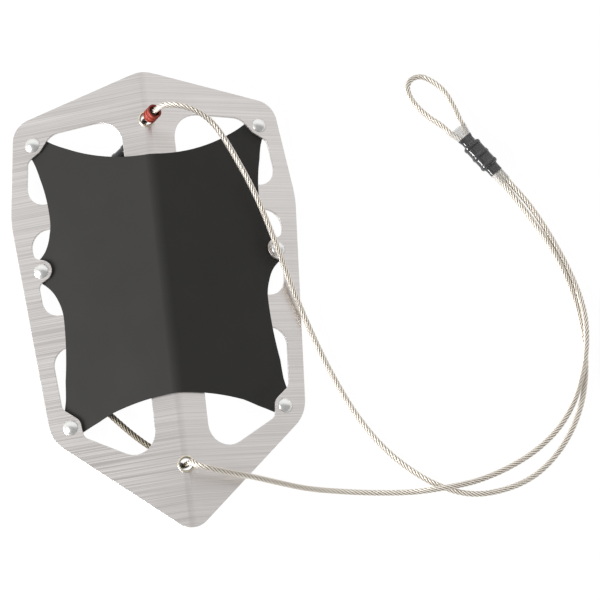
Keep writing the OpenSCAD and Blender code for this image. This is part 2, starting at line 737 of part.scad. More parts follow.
module eye_black_sleeve() color(black_shrink) on_eye() difference() {
    seat_half = eye_ferrule_l / 2 + sleeve_play;
    seat_r = eye_ferrule_r + sleeve_play;
    eye_skin(concat(
        [[-eye_black_half, eye_black_neck_r], [-eye_body_half, eye_black_neck_r]],
        [[-eye_body_half, eye_black_r]],
        ridge_steps(eye_black_r, 0),
        [[eye_body_half, eye_black_r], [eye_body_half, eye_black_neck_r], [eye_spread, eye_black_neck_r]],
        [[eye_black_half, eye_black_neck_r]]
    ));
    eye_skin([
        [-eye_clear_half, eye_neck_r], [-seat_half, eye_neck_r], [-seat_half, seat_r],
        [seat_half, seat_r], [seat_half, eye_neck_r], [eye_spread, eye_neck_r], [eye_clear_half, eye_neck_r]
    ]);
}

// Stations of the clear sleeve's skin, grown from the black sleeve and the bare strands inside it
function clear_stations(grow, half) =
    let (
        neck_r = eye_neck_r + grow - sleeve_play,
        over_neck = eye_black_neck_r + grow,
        over_body = eye_black_r + grow,
        neck_x = eye_black_half + grow,
        body_x = eye_body_half + grow
    )
    concat(
        [[-half, neck_r], [-neck_x, neck_r], [-neck_x, over_neck], [-body_x, over_neck]],
        [[-body_x, over_body]],
        ridge_steps(over_body, grow),
        [[body_x, over_body], [body_x, over_neck], [eye_spread, over_neck], [neck_x, over_neck]],
        [[neck_x, neck_r], [half, neck_r]]
    );

module eye_clear_sleeve() color(milky, 0.5) on_eye() difference() {
    eye_skin(clear_stations(sleeve_play + eye_clear_wall, eye_clear_half));
    eye_skin(clear_stations(sleeve_play, 2 * eye_clear_half));
}

// Faces of a skin through n rings of k points, closed at both ends
function skin_faces(n, k) = concat(
    [for (i = [0 : n - 2]) for (j = [0 : k - 1])
        let (p = i * k + j, q = i * k + (j + 1) % k)
        each [[p, p + k, q], [q, p + k, q + k]]],
    [for (j = [1 : k - 2]) each
        [[0, j, j + 1], [(n - 1) * k, (n - 1) * k + j + 1, (n - 1) * k + j]]]
);

// Unit tangents of a route, each square to the mean of its two legs
function tangents(p) =
    let (n = len(p))
    [for (i = [0 : n - 1])
        let (
            back = i > 0 ? (p[i] - p[i - 1]) / norm(p[i] - p[i - 1]) : [0, 0, 0],
            ahead = i < n - 1 ? (p[i + 1] - p[i]) / norm(p[i + 1] - p[i]) : [0, 0, 0]
        )
        (back + ahead) / norm(back + ahead)];

// Normals carried along the route with as little twist as they can have
function carried_normals(t, i = 0, done = []) =
    i == len(t) ? done
    : let (
        last = i > 0 ? done[i - 1] : abs(t[0].z) < 0.7 ? [0, 0, 1] : [0, 1, 0],
        flat = last - (last * t[i]) * t[i]
    )
    carried_normals(t, i + 1, concat(done, [flat / norm(flat)]));

// Round tube of radius r along a route's own points
module tube(route, r) {
    n = len(route);
    k = cable_sides;
    t = tangents(route);
    a = carried_normals(t);
    points = [for (i = [0 : n - 1]) for (j = [0 : k - 1])
        route[i] + r * (cos(360 * j / k) * a[i] + sin(360 * j / k) * cross(t[i], a[i]))];
    polyhedron(points = points, faces = skin_faces(n, k));
}

module upper_leg() color(steel) tube(upper_route, cable_r);
module lower_leg() color(steel) tube(lower_route, cable_r);
module upper_tail() color(steel) tube(tail_route, cable_r);
module back_bow() color(steel) tube(bow_route, cable_r);
module eye_loop() color(steel) tube(loop_route, cable_r);

frame_plate();
snow_panel();
rivet(0, -1);  // rivet_top_left
rivet(0, 1);  // rivet_top_right
rivet(1, -1);  // rivet_mid_left
rivet(1, 1);  // rivet_mid_right
rivet(2, -1);  // rivet_low_left
rivet(2, 1);  // rivet_low_right
washer(0, -1);  // washer_top_left
washer(0, 1);  // washer_top_right
washer(1, -1);  // washer_mid_left
washer(1, 1);  // washer_mid_right
washer(2, -1);  // washer_low_left
washer(2, 1);  // washer_low_right
eyelet(hole_top);  // upper_eyelet
eyelet(hole_low);  // lower_eyelet
eyelet_ring(hole_top);  // upper_eyelet_ring
eyelet_ring(hole_low);  // lower_eyelet_ring
stop_ferrule();
red_stop_sleeve();
back_ferrule();
back_sleeve();
eye_ferrule();
eye_black_sleeve();
eye_clear_sleeve();
upper_leg();
lower_leg();
upper_tail();
back_bow();
eye_loop();
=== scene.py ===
"""Looks of a snow fluke anchor: finishes, fine shapes, wire cable and studio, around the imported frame.

The frame is in metres: +Z up out of the ridge, +Y along the spine, the cable bridle lying toward +X.
Sizes below are in millimetres unless a name ends in _m, and angles are in degrees.
"""
import json
import logging
import math
from dataclasses import dataclass, field
from enum import Enum
from typing import Any, Sequence

import bmesh
import bpy
import numpy as np
from mathutils import Matrix


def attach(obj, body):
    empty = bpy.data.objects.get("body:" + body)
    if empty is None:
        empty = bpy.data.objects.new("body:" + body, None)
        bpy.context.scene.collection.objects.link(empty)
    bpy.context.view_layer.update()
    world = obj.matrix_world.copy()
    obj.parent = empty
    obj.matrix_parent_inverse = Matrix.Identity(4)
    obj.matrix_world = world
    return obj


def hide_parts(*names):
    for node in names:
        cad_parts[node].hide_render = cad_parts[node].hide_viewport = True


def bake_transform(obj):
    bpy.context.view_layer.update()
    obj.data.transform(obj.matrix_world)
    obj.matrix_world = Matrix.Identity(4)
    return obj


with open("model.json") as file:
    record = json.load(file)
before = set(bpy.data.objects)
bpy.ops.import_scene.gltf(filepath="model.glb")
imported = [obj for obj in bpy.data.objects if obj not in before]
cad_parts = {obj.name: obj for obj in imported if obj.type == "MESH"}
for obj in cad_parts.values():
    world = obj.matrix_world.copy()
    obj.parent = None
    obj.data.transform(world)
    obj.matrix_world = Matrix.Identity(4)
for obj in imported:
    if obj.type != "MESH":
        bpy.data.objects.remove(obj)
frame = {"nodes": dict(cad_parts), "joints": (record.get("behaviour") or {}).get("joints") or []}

LOG = logging.getLogger("snow_fluke")
MM = 0.001
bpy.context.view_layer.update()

Array = np.ndarray
Pair = tuple[float, float]
Point = tuple[float, float, float]
Socket = bpy.types.NodeSocket
Tree = bpy.types.NodeTree

# Nearly all values of a noise lie in this span
NOISE_SPAN = (0.3, 0.7)
NOISE_ROUGHNESS = 0.6
# Length of one wave of a diagonal wave texture at scale 1
WAVE_PERIOD = 2 * math.pi / 10
WHITE = (1.0, 1.0, 1.0, 1.0)
# Largest share of a profile's side that a softened corner takes
MAX_CUT_SHARE = 0.45
# An axis whose Y is at least this counts as lying along Y
NEAR_Y = 0.8
# A ridge on a sleeve is as wide as its ferrule's length over this
RIDGE_PARTS = 8


class Body(str, Enum):
    """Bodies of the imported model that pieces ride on."""

    FLUKE = "fluke"
    BRIDLE = "bridle"
    COLLAR = "collar"


class Side(Enum):
    """Wings of the plate, by the sign of X."""

    LEFT = -1
    RIGHT = 1


class Row(Enum):
    """Rivet rows, each with its place on a wing: out from the ridge, and along it."""

    TOP = (83.0, 121.0)
    MID = (85.5, 31.0)
    LOW = (76.0, -79.5)


class Ends(Enum):
    """How a grid's rows end: the last row joins the first, or one face closes each end."""

    JOINED = "joined"
    CAPPED = "capped"


class Mixing(Enum):
    """What a mix node blends, with the numbers of its two inputs and of its output."""

    FLOAT = (2, 3, 0)
    RGBA = (6, 7, 2)


# Colour and node helpers


def linear(code: str) -> tuple[float, float, float, float]:
    """Turn an sRGB hex colour into linear red, green, blue and full alpha.

    Args:
        code: Colour as "#RRGGBB".

    Returns:
        Linear colour for a shader socket.
    """
    parts = [int(code[i:i + 2], 16) / 255 for i in (1, 3, 5)]
    red, green, blue = (p / 12.92 if p <= 0.04045 else ((p + 0.055) / 1.055) ** 2.4 for p in parts)
    return red, green, blue, 1.0


def empty_tree(owner: bpy.types.Material | bpy.types.World) -> Tree:
    """Switch a material or a world to nodes, with none in it yet.

    Args:
        owner: Material or world.

    Returns:
        Its node tree.
    """
    owner.use_nodes = True
    owner.node_tree.nodes.clear()
    return owner.node_tree


def add_node(tree: Tree, kind: str, inputs: dict[Any, Any] | None = None, **settings: Any) -> bpy.types.Node:
    """Add a node with its settings, values and links.

    Args:
        tree: Node tree that takes the node.
        kind: Blender's name of the node's class.
        inputs: Socket name or number to a value, or to an output socket that is linked to it.
        **settings: Attributes of the node.

    Returns:
        The new node.
    """
    node = tree.nodes.new(kind)
    for key, value in settings.items():
        setattr(node, key, value)
    for key, value in (inputs or {}).items():
        if isinstance(value, Socket):
            tree.links.new(value, node.inputs[key])
        else:
            node.inputs[key].default_value = value
    return node


def attribute(tree: Tree, name: str) -> Socket:
    """Value of one of the mesh's own attributes."""
    return add_node(tree, "ShaderNodeAttribute", attribute_name=name).outputs["Fac"]


def either(tree: Tree, first: Socket, second: Socket) -> Socket:
    """Larger one of two factors."""
    return add_node(tree, "ShaderNodeMath", {0: first, 1: second}, operation="MAXIMUM").outputs[0]


def mix(tree: Tree, kind: Mixing, factor: Any, first: Any, second: Any) -> Socket:
    """Go from one value or colour to another as a factor goes from 0 to 1.

    Args:
        tree: Node tree that takes the node.
        kind: What is blended.
        factor: Share of the second one, a value or a socket.
        first: Value, colour or socket at factor 0.
        second: Value, colour or socket at factor 1.

    Returns:
        Output socket.
    """
    low, high, out = kind.value
    node = add_node(tree, "ShaderNodeMix", {0: factor, low: first, high: second}, data_type=kind.name)
    return node.outputs[out]


def remap(tree: Tree, value: Socket, onto: Pair, span: Pair = NOISE_SPAN, soft: bool = False) -> Socket:
    """Carry a span of values over onto another span, and hold at its ends.

    Args:
        tree: Node tree that takes the node.
        value: Driving socket.
        onto: Results at the span's two ends.
        span: Values that are carried over.
        soft: Whether the run eases in and out.

    Returns:
        Output socket.
    """
    node = add_node(tree, "ShaderNodeMapRange", {
        "Value": value, "From Min": span[0], "From Max": span[1], "To Min": onto[0], "To Max": onto[1],
    }, interpolation_type="SMOOTHSTEP" if soft else "LINEAR")
    return node.outputs["Result"]


def object_noise(tree: Tree, size_mm: Point, detail: float) -> Socket:
    """Noise whose grains have their own width along each axis of the piece.

    Args:
        tree: Node tree that takes the nodes.
        size_mm: Grain width along X, Y and Z.
        detail: Octaves of finer noise.

    Returns:
        Output socket, about 0 to 1.
    """
    place = add_node(tree, "ShaderNodeTexCoord")
    scale = add_node(tree, "ShaderNodeMapping", {
        "Vector": place.outputs["Object"],
        "Scale": tuple(1.0 / (s * MM) for s in size_mm),
    })
    noise = add_node(tree, "ShaderNodeTexNoise", {
        "Vector": scale.outputs["Vector"], "Scale": 1.0, "Detail": detail, "Roughness": NOISE_ROUGHNESS,
    })
    return noise.outputs["Fac"]


def blend_colours(tree: Tree, factor: Socket, low: str, high: str, span: Pair = NOISE_SPAN) -> Socket:
    """Run from one colour to another as a factor goes over a span.

    Args:
        tree: Node tree that takes the node.
        factor: Driving socket.
        low: Colour at the span's start and before it.
        high: Colour at the span's end and past it.
        span: Factors where the run begins and ends.

    Returns:
        Colour socket.
    """
    ramp = add_node(tree, "ShaderNodeValToRGB", {"Fac": factor})
    first, last = ramp.color_ramp.elements
    first.position, last.position = span
    first.color, last.color = linear(low), linear(high)
    return ramp.outputs["Color"]


def bump(tree: Tree, height: Socket, strength: float, depth_mm: float) -> Socket:
    """Tilt a surface's normal as if a height socket raised it.

    Args:
        tree: Node tree that takes the node.
        height: Driving socket, 0 to 1.
        strength: Share of the tilt that is used.
        depth_mm: Height at 1.

    Returns:
        Normal socket.
    """
    node = add_node(tree, "ShaderNodeBump", {
        "Height": height, "Strength": strength, "Distance": depth_mm * MM})
    return node.outputs["Normal"]


# Finishes. In each, relief holds the strength and the depth of its bump, and rough the span of its roughness.


@dataclass(frozen=True)
class Finish:
    """A material made from nodes, kept under its name so that pieces share it."""

    name: str

    def material(self) -> bpy.types.Material:
        """Make the Blender material the first time, and find it again after that.

        Returns:
            The material.
        """
        found = bpy.data.materials.get(self.name)
        if found is not None:
            return found
        made = bpy.data.materials.new(self.name)
        tree = empty_tree(made)
        shader = add_node(tree, "ShaderNodeBsdfPrincipled", self.sockets(tree))
        add_node(tree, "ShaderNodeOutputMaterial", {"Surface": shader.outputs["BSDF"]})
        return made

    def sockets(self, tree: Tree) -> dict[str, Any]:
        """Add this finish's pattern, and say what goes into the shader's sockets.

        Args:
            tree: The material's node tree.

        Returns:
            Socket name of the Principled node to a value or an output socket.
        """
        raise NotImplementedError

    def put_on(self, obj: bpy.types.Object) -> None:
        """Make this the only material of an object.

        Args:
            obj: A piece or a CAD node's object.
        """
        if obj.material_slots:
            for place in obj.material_slots:
                place.material = self.material()
        else:
            obj.data.materials.append(self.material())


@dataclass(frozen=True)
class BrushedAluminium(Finish):
    """Bare rolled aluminium sheet, brushed across the spine: fine level streaks and a soft broad sheen.

    The streaks are drawn wider than real brushing, so that they show in the render. Reads the map
    "grain", whose first axis lies square to the streaks, the way that they smear a reflection.
    """

    low: str = "#D0CBC8"
    high: str = "#E8E4E2"
    streak: Point = (120.0, 0.55, 120.0)
    cloud: Point = (60.0, 25.0, 60.0)
    cloud_share: float = 0.25
    rough: Pair = (0.34, 0.42)
    relief: Pair = (0.12, 0.04)
    smear: float = 0.6

    def sockets(self, tree: Tree) -> dict[str, Any]:
        """Streaks change colour, roughness and height; a slow cloud changes colour again.

        Args:
            tree: The material's node tree.

        Returns:
            What goes into the shader's sockets.
        """
        streaks = object_noise(tree, self.streak, detail=0.0)
        clouds = object_noise(tree, self.cloud, detail=2.0)
        tone = mix(tree, Mixing.FLOAT, self.cloud_share, streaks, clouds)
        across = add_node(tree, "ShaderNodeTangent", direction_type="UV_MAP", uv_map="grain")
        return {
            "Base Color": blend_colours(tree, tone, self.low, self.high),
            "Roughness": remap(tree, streaks, self.rough),
            "Normal": bump(tree, streaks, *self.relief),
            "Tangent": across.outputs["Tangent"],
            "Metallic": 1.0,
            "Anisotropic": self.smear,
        }


@dataclass(frozen=True)
class MatteSheet(Finish):
    """Black calendered polymer sheet with a fine matte grain, about 1 mm from grain to grain."""

    low: str = "#2C2B29"
    high: str = "#353432"
    grain: Point = (1.1, 1.1, 1.1)
    cloud: Point = (45.0, 60.0, 45.0)
    cloud_share: float = 0.6
    rough: Pair = (0.56, 0.68)
    relief: Pair = (0.25, 0.05)
    gloss: float = 0.38

    def sockets(self, tree: Tree) -> dict[str, Any]:
        """Grain raises the surface; grain and a slow cloud shift the black a little.

        Args:
            tree: The material's node tree.

        Returns:
            What goes into the shader's sockets.
        """
        grain = object_noise(tree, self.grain, detail=2.0)
        cloud = object_noise(tree, self.cloud, detail=2.0)
        tone = mix(tree, Mixing.FLOAT, self.cloud_share, grain, cloud)
        return {
            "Base Color": blend_colours(tree, tone, self.low, self.high),
            "Roughness": remap(tree, grain, self.rough),
            "Normal": bump(tree, grain, *self.relief),
            "Specular IOR Level": self.gloss,
        }


@dataclass(frozen=True)
class BrightMetal(Finish):
    """Turned or pressed metal with a bright skin: small scuffs that change its gloss."""

    low: str = "#CBCBCA"
    high: str = "#E6E6E4"
    rough: Pair = (0.16, 0.3)
    scuff: Point = (1.6, 1.6, 1.6)
    relief: Pair = (0.12, 0.05)

    def sockets(self, tree: Tree) -> dict[str, Any]:
        """Scuffs shift colour and roughness, and dent the skin slightly.

        Args:
            tree: The material's node tree.

        Returns:
            What goes into the shader's sockets.
        """
        scuffs = object_noise(tree, self.scuff, detail=3.0)
        return {
            "Base Color": blend_colours(tree, scuffs, self.low, self.high),
            "Roughness": remap(tree, scuffs, self.rough),
            "Normal": bump(tree, scuffs, *self.relief),
            "Metallic": 1.0,
        }


@dataclass(frozen=True)
class BoredMetal(BrightMetal):
    """Plated brass, bright on the rim, with painted shade darkening it down the bore.

    Reads the eyelet's own attribute bore, 0 on the rim and 1 down the hole.
    """

    # Painted shade: the dark colour that the eyelet's bore takes on down the hole.
    bore_shade: str = "#4C4326"

    def sockets(self, tree: Tree) -> dict[str, Any]:
        """As bright metal, with the skin turning to worn brass as bore rises.

        Args:
            tree: The material's node tree.

        Returns:
            As bright metal, with painted shade turning the skin dark as bore rises.
        """
        made = super().sockets(tree)
        skin, bore = made["Base Color"], attribute(tree, "bore")
        return made | {"Base Color": mix(tree, Mixing.RGBA, bore, skin, linear(self.bore_shade))}


@dataclass(frozen=True)
class Moulded(Finish):
    """Moulded or shrunk polymer: a soft swirl of tone, and a gloss that varies with it."""

    low: str = "#101114"
    high: str = "#1C1D22"
    rough: Pair = (0.2, 0.34)
    swirl: Point = (3.0, 3.0, 3.0)
    relief: Pair = (0.1, 0.12)
    coat: float = 0.0
    coat_rough: float = 0.08

    def sockets(self, tree: Tree) -> dict[str, Any]:
        """Swirl shifts tone and gloss, with a faint ripple.

        Args:
            tree: The material's node tree.

        Returns:
            What goes into the shader's sockets.
        """
        swirl = object_noise(tree, self.swirl, detail=2.0)
        return {
            "Base Color": blend_colours(tree, swirl, self.low, self.high),
            "Roughness": remap(tree, swirl, self.rough),
            "Normal": bump(tree, swirl, *self.relief),
            "Coat Weight": self.coat,
            "Coat Roughness": self.coat_rough,
        }


@dataclass(frozen=True)
class ClearTube(Finish):
    """Clear polyolefin shrink tube: a thin glassy skin where it hugs the black sleeve, milky past its ends.

    Reads the tube's own attribute milk, 0 over the black sleeve and 1 past it. The shares in cover say how
    much of what lies behind is covered at 0 and at 1.
    """

    tint: tuple[str, str] = ("#F2F1EE", "#FCFBF9")
    ripple: Point = (2.5, 2.5, 2.5)
    relief: Pair = (0.15, 0.1)
    cover: Pair = (0.016, 0.27)
    even_rough: float = 0.15

    def sockets(self, tree: Tree) -> dict[str, Any]:
        """Cover follows milk; fine ripples from shrinking bend the gloss.

        Args:
            tree: The material's node tree.

        Returns:
            What goes into the shader's sockets.
        """
        ripples = object_noise(tree, self.ripple, detail=2.0)
        return {
            "Base Color": blend_colours(tree, ripples, *self.tint),
            "Alpha": remap(tree, attribute(tree, "milk"), self.cover, span=(0.0, 1.0)),
            "Normal": bump(tree, ripples, *self.relief),
            "Roughness": self.even_rough,
        }


@dataclass(frozen=True)
class WireRope(Finish):
    """Galvanised steel rope: pale strands of fine wires, with painted shade darkening the grooves between
    strands.

    Reads the rope's own attributes: groove, 0 on a strand's crest and 1 between strands, and the map
    "run", strands round by millimetres along. The wires are drawn 0.6 mm wide, coarser than real ones.
    """

    crest: str = "#FDF7EE"
    shade: str = "#F0E8DC"
    # Painted shade: the colour that the grooves between strands darken to.
    groove: str = "#8F8475"
    wire_pitch: float = 2.0
    wires_across: float = 3.0
    wire_span: Pair = (0.0, 0.6)
    groove_span: Pair = (0.35, 1.0)
    relief: Pair = (0.35, 0.12)
    metal: float = 0.8
    even_rough: float = 0.5

    def sockets(self, tree: Tree) -> dict[str, Any]:
        """Wires run aslant over each strand; painted shade darkens the tone from crest to groove.

        Args:
            tree: The material's node tree.

        Returns:
            What goes into the shader's sockets.
        """
        run = add_node(tree, "ShaderNodeUVMap", uv_map="run")
        laid = add_node(tree, "ShaderNodeMapping", {
            "Vector": run.outputs["UV"],
            "Scale": (self.wires_across * WAVE_PERIOD, -WAVE_PERIOD / self.wire_pitch, 1.0),
        })
        wires = add_node(tree, "ShaderNodeTexWave", {
            "Vector": laid.outputs["Vector"], "Scale": 1.0, "Distortion": 0.0,
        }, wave_type="BANDS", bands_direction="DIAGONAL").outputs["Fac"]
        strand = blend_colours(tree, wires, self.shade, self.crest, self.wire_span)
        depth = remap(tree, attribute(tree, "groove"), (0.0, 1.0), self.groove_span, soft=True)
        return {
            "Base Color": mix(tree, Mixing.RGBA, depth, strand, linear(self.groove)),
            "Normal": bump(tree, wires, *self.relief),
            "Metallic": self.metal,
            "Roughness": self.even_rough,
        }


PLATE_FINISH = BrushedAluminium("brushed_bare_aluminium")
SHEET_FINISH = MatteSheet("matte_black_polymer_sheet")
RIVET_FINISH = BrightMetal("satin_aluminium_rivet", low="#E2E2E0", high="#ECECEA", rough=(0.28, 0.36))
WASHER_FINISH = BrightMetal("pressed_aluminium_washer", low="#B4B4B2", high="#CFCFCD", rough=(0.28, 0.42))
EYELET_FINISH = BoredMetal("nickel_plated_brass", low="#D0C6AE", high="#EFE9DA", rough=(0.16, 0.26))
FERRULE_FINISH = BrightMetal("crimped_aluminium", low="#A8A8A6", high="#C6C6C4", rough=(0.3, 0.45))
# Painted shade: the copper ferrule inside the red sleeve is coloured dark so that the sleeve's open bore
# looks shaded.
COPPER_SHADE_FINISH = BrightMetal("copper_painted_shade", low="#2E2019", high="#46352A", rough=(0.4, 0.55))
RED_FINISH = Moulded("red_silicone_rubber", low="#8E2B1B", high="#B4432F", rough=(0.4, 0.55))
SHRINK_FINISH = Moulded("black_shrink_tube", low="#1A1B1F", high="#2A2B30", rough=(0.12, 0.2), coat=0.5)
CLEAR_FINISH = ClearTube("clear_shrink_tube")
ROPE_FINISH = WireRope("galvanised_wire_rope")
# Painted shade: the runs behind the plate get a darker rope colour for the plate's shadow that they lie in.
SHADED_ROPE_FINISH = WireRope("wire_rope_painted_shade", crest="#A29A8B", shade="#837B6D", groove="#29241E")


# Meshes


def add_object(name: str, data: bpy.types.ID) -> bpy.types.Object:
    """Put a mesh, a lamp or a camera into the scene.

    Args:
        name: Name of the object.
        data: What it shows.

    Returns:
        The new object.
    """
    obj = bpy.data.objects.new(name, data)
    bpy.context.scene.collection.objects.link(obj)
    return obj


def smooth(mesh: bpy.types.Mesh) -> None:
    """Shade every face of a mesh smooth."""
    mesh.polygons.foreach_set("use_smooth", np.ones(len(mesh.polygons), bool))


def points_of(mesh: bpy.types.Mesh) -> Array:
    """Read the points of a mesh.

    Args:
        mesh: Any mesh.

    Returns:
        Points in metres, one row each.
    """
    point = np.empty(3 * len(mesh.vertices))
    mesh.vertices.foreach_get("co", point)
    return point.reshape(-1, 3)


def corners_of(mesh: bpy.types.Mesh) -> Array:
    """Read which point each face corner of a mesh lies on.

    Args:
        mesh: Any mesh.

    Returns:
        Point number of each corner.
    """
    corner = np.empty(len(mesh.loops), np.int64)
    mesh.loops.foreach_get("vertex_index", corner)
    return corner


def write_attribute(mesh: bpy.types.Mesh, name: str, values: Array) -> None:
    """Write a value at each point of a mesh, for its finish to read."""
    made = mesh.attributes.new(name, "FLOAT", "POINT")
    made.data.foreach_set("value", values.astype(np.float32))


def write_map(mesh: bpy.types.Mesh, name: str, uv: Array) -> None:
    """Write a map of two numbers at each face corner of a mesh, for its finish to read."""
    mesh.uv_layers.new(name=name).data.foreach_set("uv", uv.astype(np.float32).ravel())


def map_grain(mesh: bpy.types.Mesh) -> None:
    """Write the map "grain": Y against X in metres, so that its first axis runs along the spine."""
    write_map(mesh, "grain", points_of(mesh)[corners_of(mesh)][:, 1::-1])


def grid_mesh(name: str, grid: Array, ends: Ends) -> bpy.types.Mesh:
    """Make a mesh of a grid of points whose columns close round on themselves.

    Row i and column j have number i * columns + j. A face goes from a row to the next and round.

    Args:
        name: Name of the mesh.
        grid: Points in metres, rows by columns.
        ends: How its rows end.

    Returns:
        The new mesh, smooth shaded.
    """
    rows, columns = grid.shape[:2]
    steps = rows if ends is Ends.JOINED else rows - 1
    i, j = np.meshgrid(np.arange(steps), np.arange(columns), indexing="ij")
    ahead, beside = (i + 1) % rows, (j + 1) % columns
    corners = [i * columns + j, i * columns + beside, ahead * columns + beside, ahead * columns + j]
    faces: list[Sequence[int]] = np.stack(corners, -1).reshape(-1, 4).tolist()
    if ends is Ends.CAPPED:
        faces.append(list(range(columns - 1, -1, -1)))
        faces.append(list(range((rows - 1) * columns, rows * columns)))
    mesh = bpy.data.meshes.new(name)
    mesh.from_pydata(grid.reshape(-1, 3).tolist(), [], faces)
    mesh.update()
    smooth(mesh)
    return mesh


def grid_piece(name: str, grid: Array, ends: Ends, finish: Finish, body: Body, node: str) -> bpy.types.Object:
    """Put a grid of points into the scene as a piece, in place of a CAD node.

    Args:
        name: Name of the piece.
        grid: Points in metres, rows by columns.
        ends: How its rows end.
        finish: Material of the piece.
        body: Body that the piece rides on.
        node: CAD node that the piece stands for.

    Returns:
        The new object.
    """
    mesh = grid_mesh(name, grid, ends)
    obj = add_object(name, mesh)
    finish.put_on(obj)
    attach(obj, body.value)
    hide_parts(node)
    LOG.info("%s: %d faces on %s", name, len(mesh.polygons), body.value)
    return obj


def dress_node(node: str, finish: Finish) -> None:
    """Show a CAD node as it is packed, in a finish."""
    finish.put_on(frame["nodes"][node])
    LOG.info("%s: as packed, in %s", node, finish.name)


@dataclass(frozen=True)
class Softening:
    """How the copy of a CAD mesh is cleaned and its edges softened.

    Points within merge of each other become one point, and faces that meet within flat_angle one face.
    Edges sharper than crease get a round of width edge, and large faces keep their own normal.
    """

    edge: float
    crease: float
    merge: float = 0.002
    flat_angle: float = 0.3
    segments: int = 2
    flat_weight: int = 80


def merged_copy(node: str, name: str, finish: Finish, body: Body, soft: Softening) -> bpy.types.Object:
    """Copy a CAD node's mesh with its doubles merged, true flats, smooth bends and softened edges.

    Args:
        node: CAD node that the copy stands for.
        name: Name of the piece.
        finish: Its material.
        body: Its body.
        soft: How it is cleaned and softened.

    Returns:
        The new object.
    """
    mesh = frame["nodes"][node].data.copy()
    mesh.name = name
    shape = bmesh.new()
    shape.from_mesh(mesh)
    bmesh.ops.remove_doubles(shape, verts=shape.verts, dist=soft.merge * MM)
    bmesh.ops.dissolve_limit(shape, angle_limit=math.radians(soft.flat_angle), use_dissolve_boundaries=False,
                             verts=shape.verts, edges=shape.edges)
    shape.to_mesh(mesh)
    shape.free()
    map_grain(mesh)
    smooth(mesh)
    mesh.set_sharp_from_angle(angle=math.radians(soft.crease))
    obj = add_object(name, mesh)
    bevel = obj.modifiers.new("soft_edges", "BEVEL")
    bevel.width, bevel.segments = soft.edge * MM, soft.segments
    bevel.limit_method, bevel.angle_limit = "ANGLE", math.radians(soft.crease)
    bevel.use_clamp_overlap, bevel.loop_slide = False, True
    flats = obj.modifiers.new("true_flats", "WEIGHTED_NORMAL")
    flats.mode, flats.weight, flats.keep_sharp = "FACE_AREA", soft.flat_weight, True
    finish.put_on(obj)
    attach(obj, body.value)
    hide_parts(node)
    LOG.info("%s: merged copy of %s on %s", name, node, body.value)
    return obj


# Surfaces


def rounded(corners: Sequence[Pair], cut: float, steps: int = 4, closed: bool = True) -> Array:
    """Soften each corner of a profile by a parabola between points cut away on both of its sides.

    Args:
        corners: Profile corners.
        cut: Distance from a corner where its curve begins, up to a set share of the side.
        steps: Points on each curve.
        closed: Whether the last corner joins the first; an open profile keeps its ends sharp.

    Returns:
        Profile points, one row each.
    """
    p = np.array(corners, float)
    before, after = np.roll(p, 1, 0), np.roll(p, -1, 0)
    back, ahead = before - p, after - p
    long_back = np.linalg.norm(back, axis=1, keepdims=True)
    long_ahead = np.linalg.norm(ahead, axis=1, keepdims=True)
    a = p + back * np.minimum(cut / long_back, MAX_CUT_SHARE)
    b = p + ahead * np.minimum(cut / long_ahead, MAX_CUT_SHARE)
    if not closed:
        a[0] = b[0] = p[0]
        a[-1] = b[-1] = p[-1]
    t = np.linspace(0, 1, steps)[None, :, None]
    curve = (1 - t) ** 2 * a[:, None] + 2 * t * (1 - t) * p[:, None] + t ** 2 * b[:, None]
    points = curve.reshape(-1, 2)
    return points if closed else points[steps - 1:1 - steps]


def square_to(axis: Array) -> tuple[Array, Array]:
    """Find two unit vectors square to an axis and to each other, right-handed with it.

    Args:
        axis: Unit vector.

    Returns:
        The one nearest to Y, or to X where the axis lies along Y, and the other.
    """
    start = np.array([0.0, 1.0, 0.0]) if abs(axis[1]) < NEAR_Y else np.array([1.0, 0.0, 0.0])
    first = start - axis * (start @ axis)
    first /= np.linalg.norm(first)
    return first, np.cross(axis, first)


def lathe(profile: Array, origin: Array, axis: Array, segments: int = 72) -> Array:
    """Turn a profile about an axis: each profile point goes round a circle of its own radius.

    Args:
        profile: Radius and height along the axis of each point, in millimetres.
        origin: Point on the axis at height zero, in metres.
        axis: Unit vector along the axis.
        segments: Points round.

    Returns:
        Grid of points in metres, profile points by segments.
    """
    first, second = square_to(axis)
    turn = np.linspace(0, 2 * math.pi, segments, endpoint=False)
    ring = np.cos(turn)[:, None] * first + np.sin(turn)[:, None] * second
    return origin + MM * (profile[:, None, 1:] * axis + profile[:, None, :1] * ring[None])


def window(x: Array, centre: float, reach: float, soft: float) -> Array:
    """Logistic step up and down: 1 / (1 + exp((|x - centre| - reach) / soft))."""
    return 1 / (1 + np.exp((np.abs(x - centre) - reach) / soft))


# Places


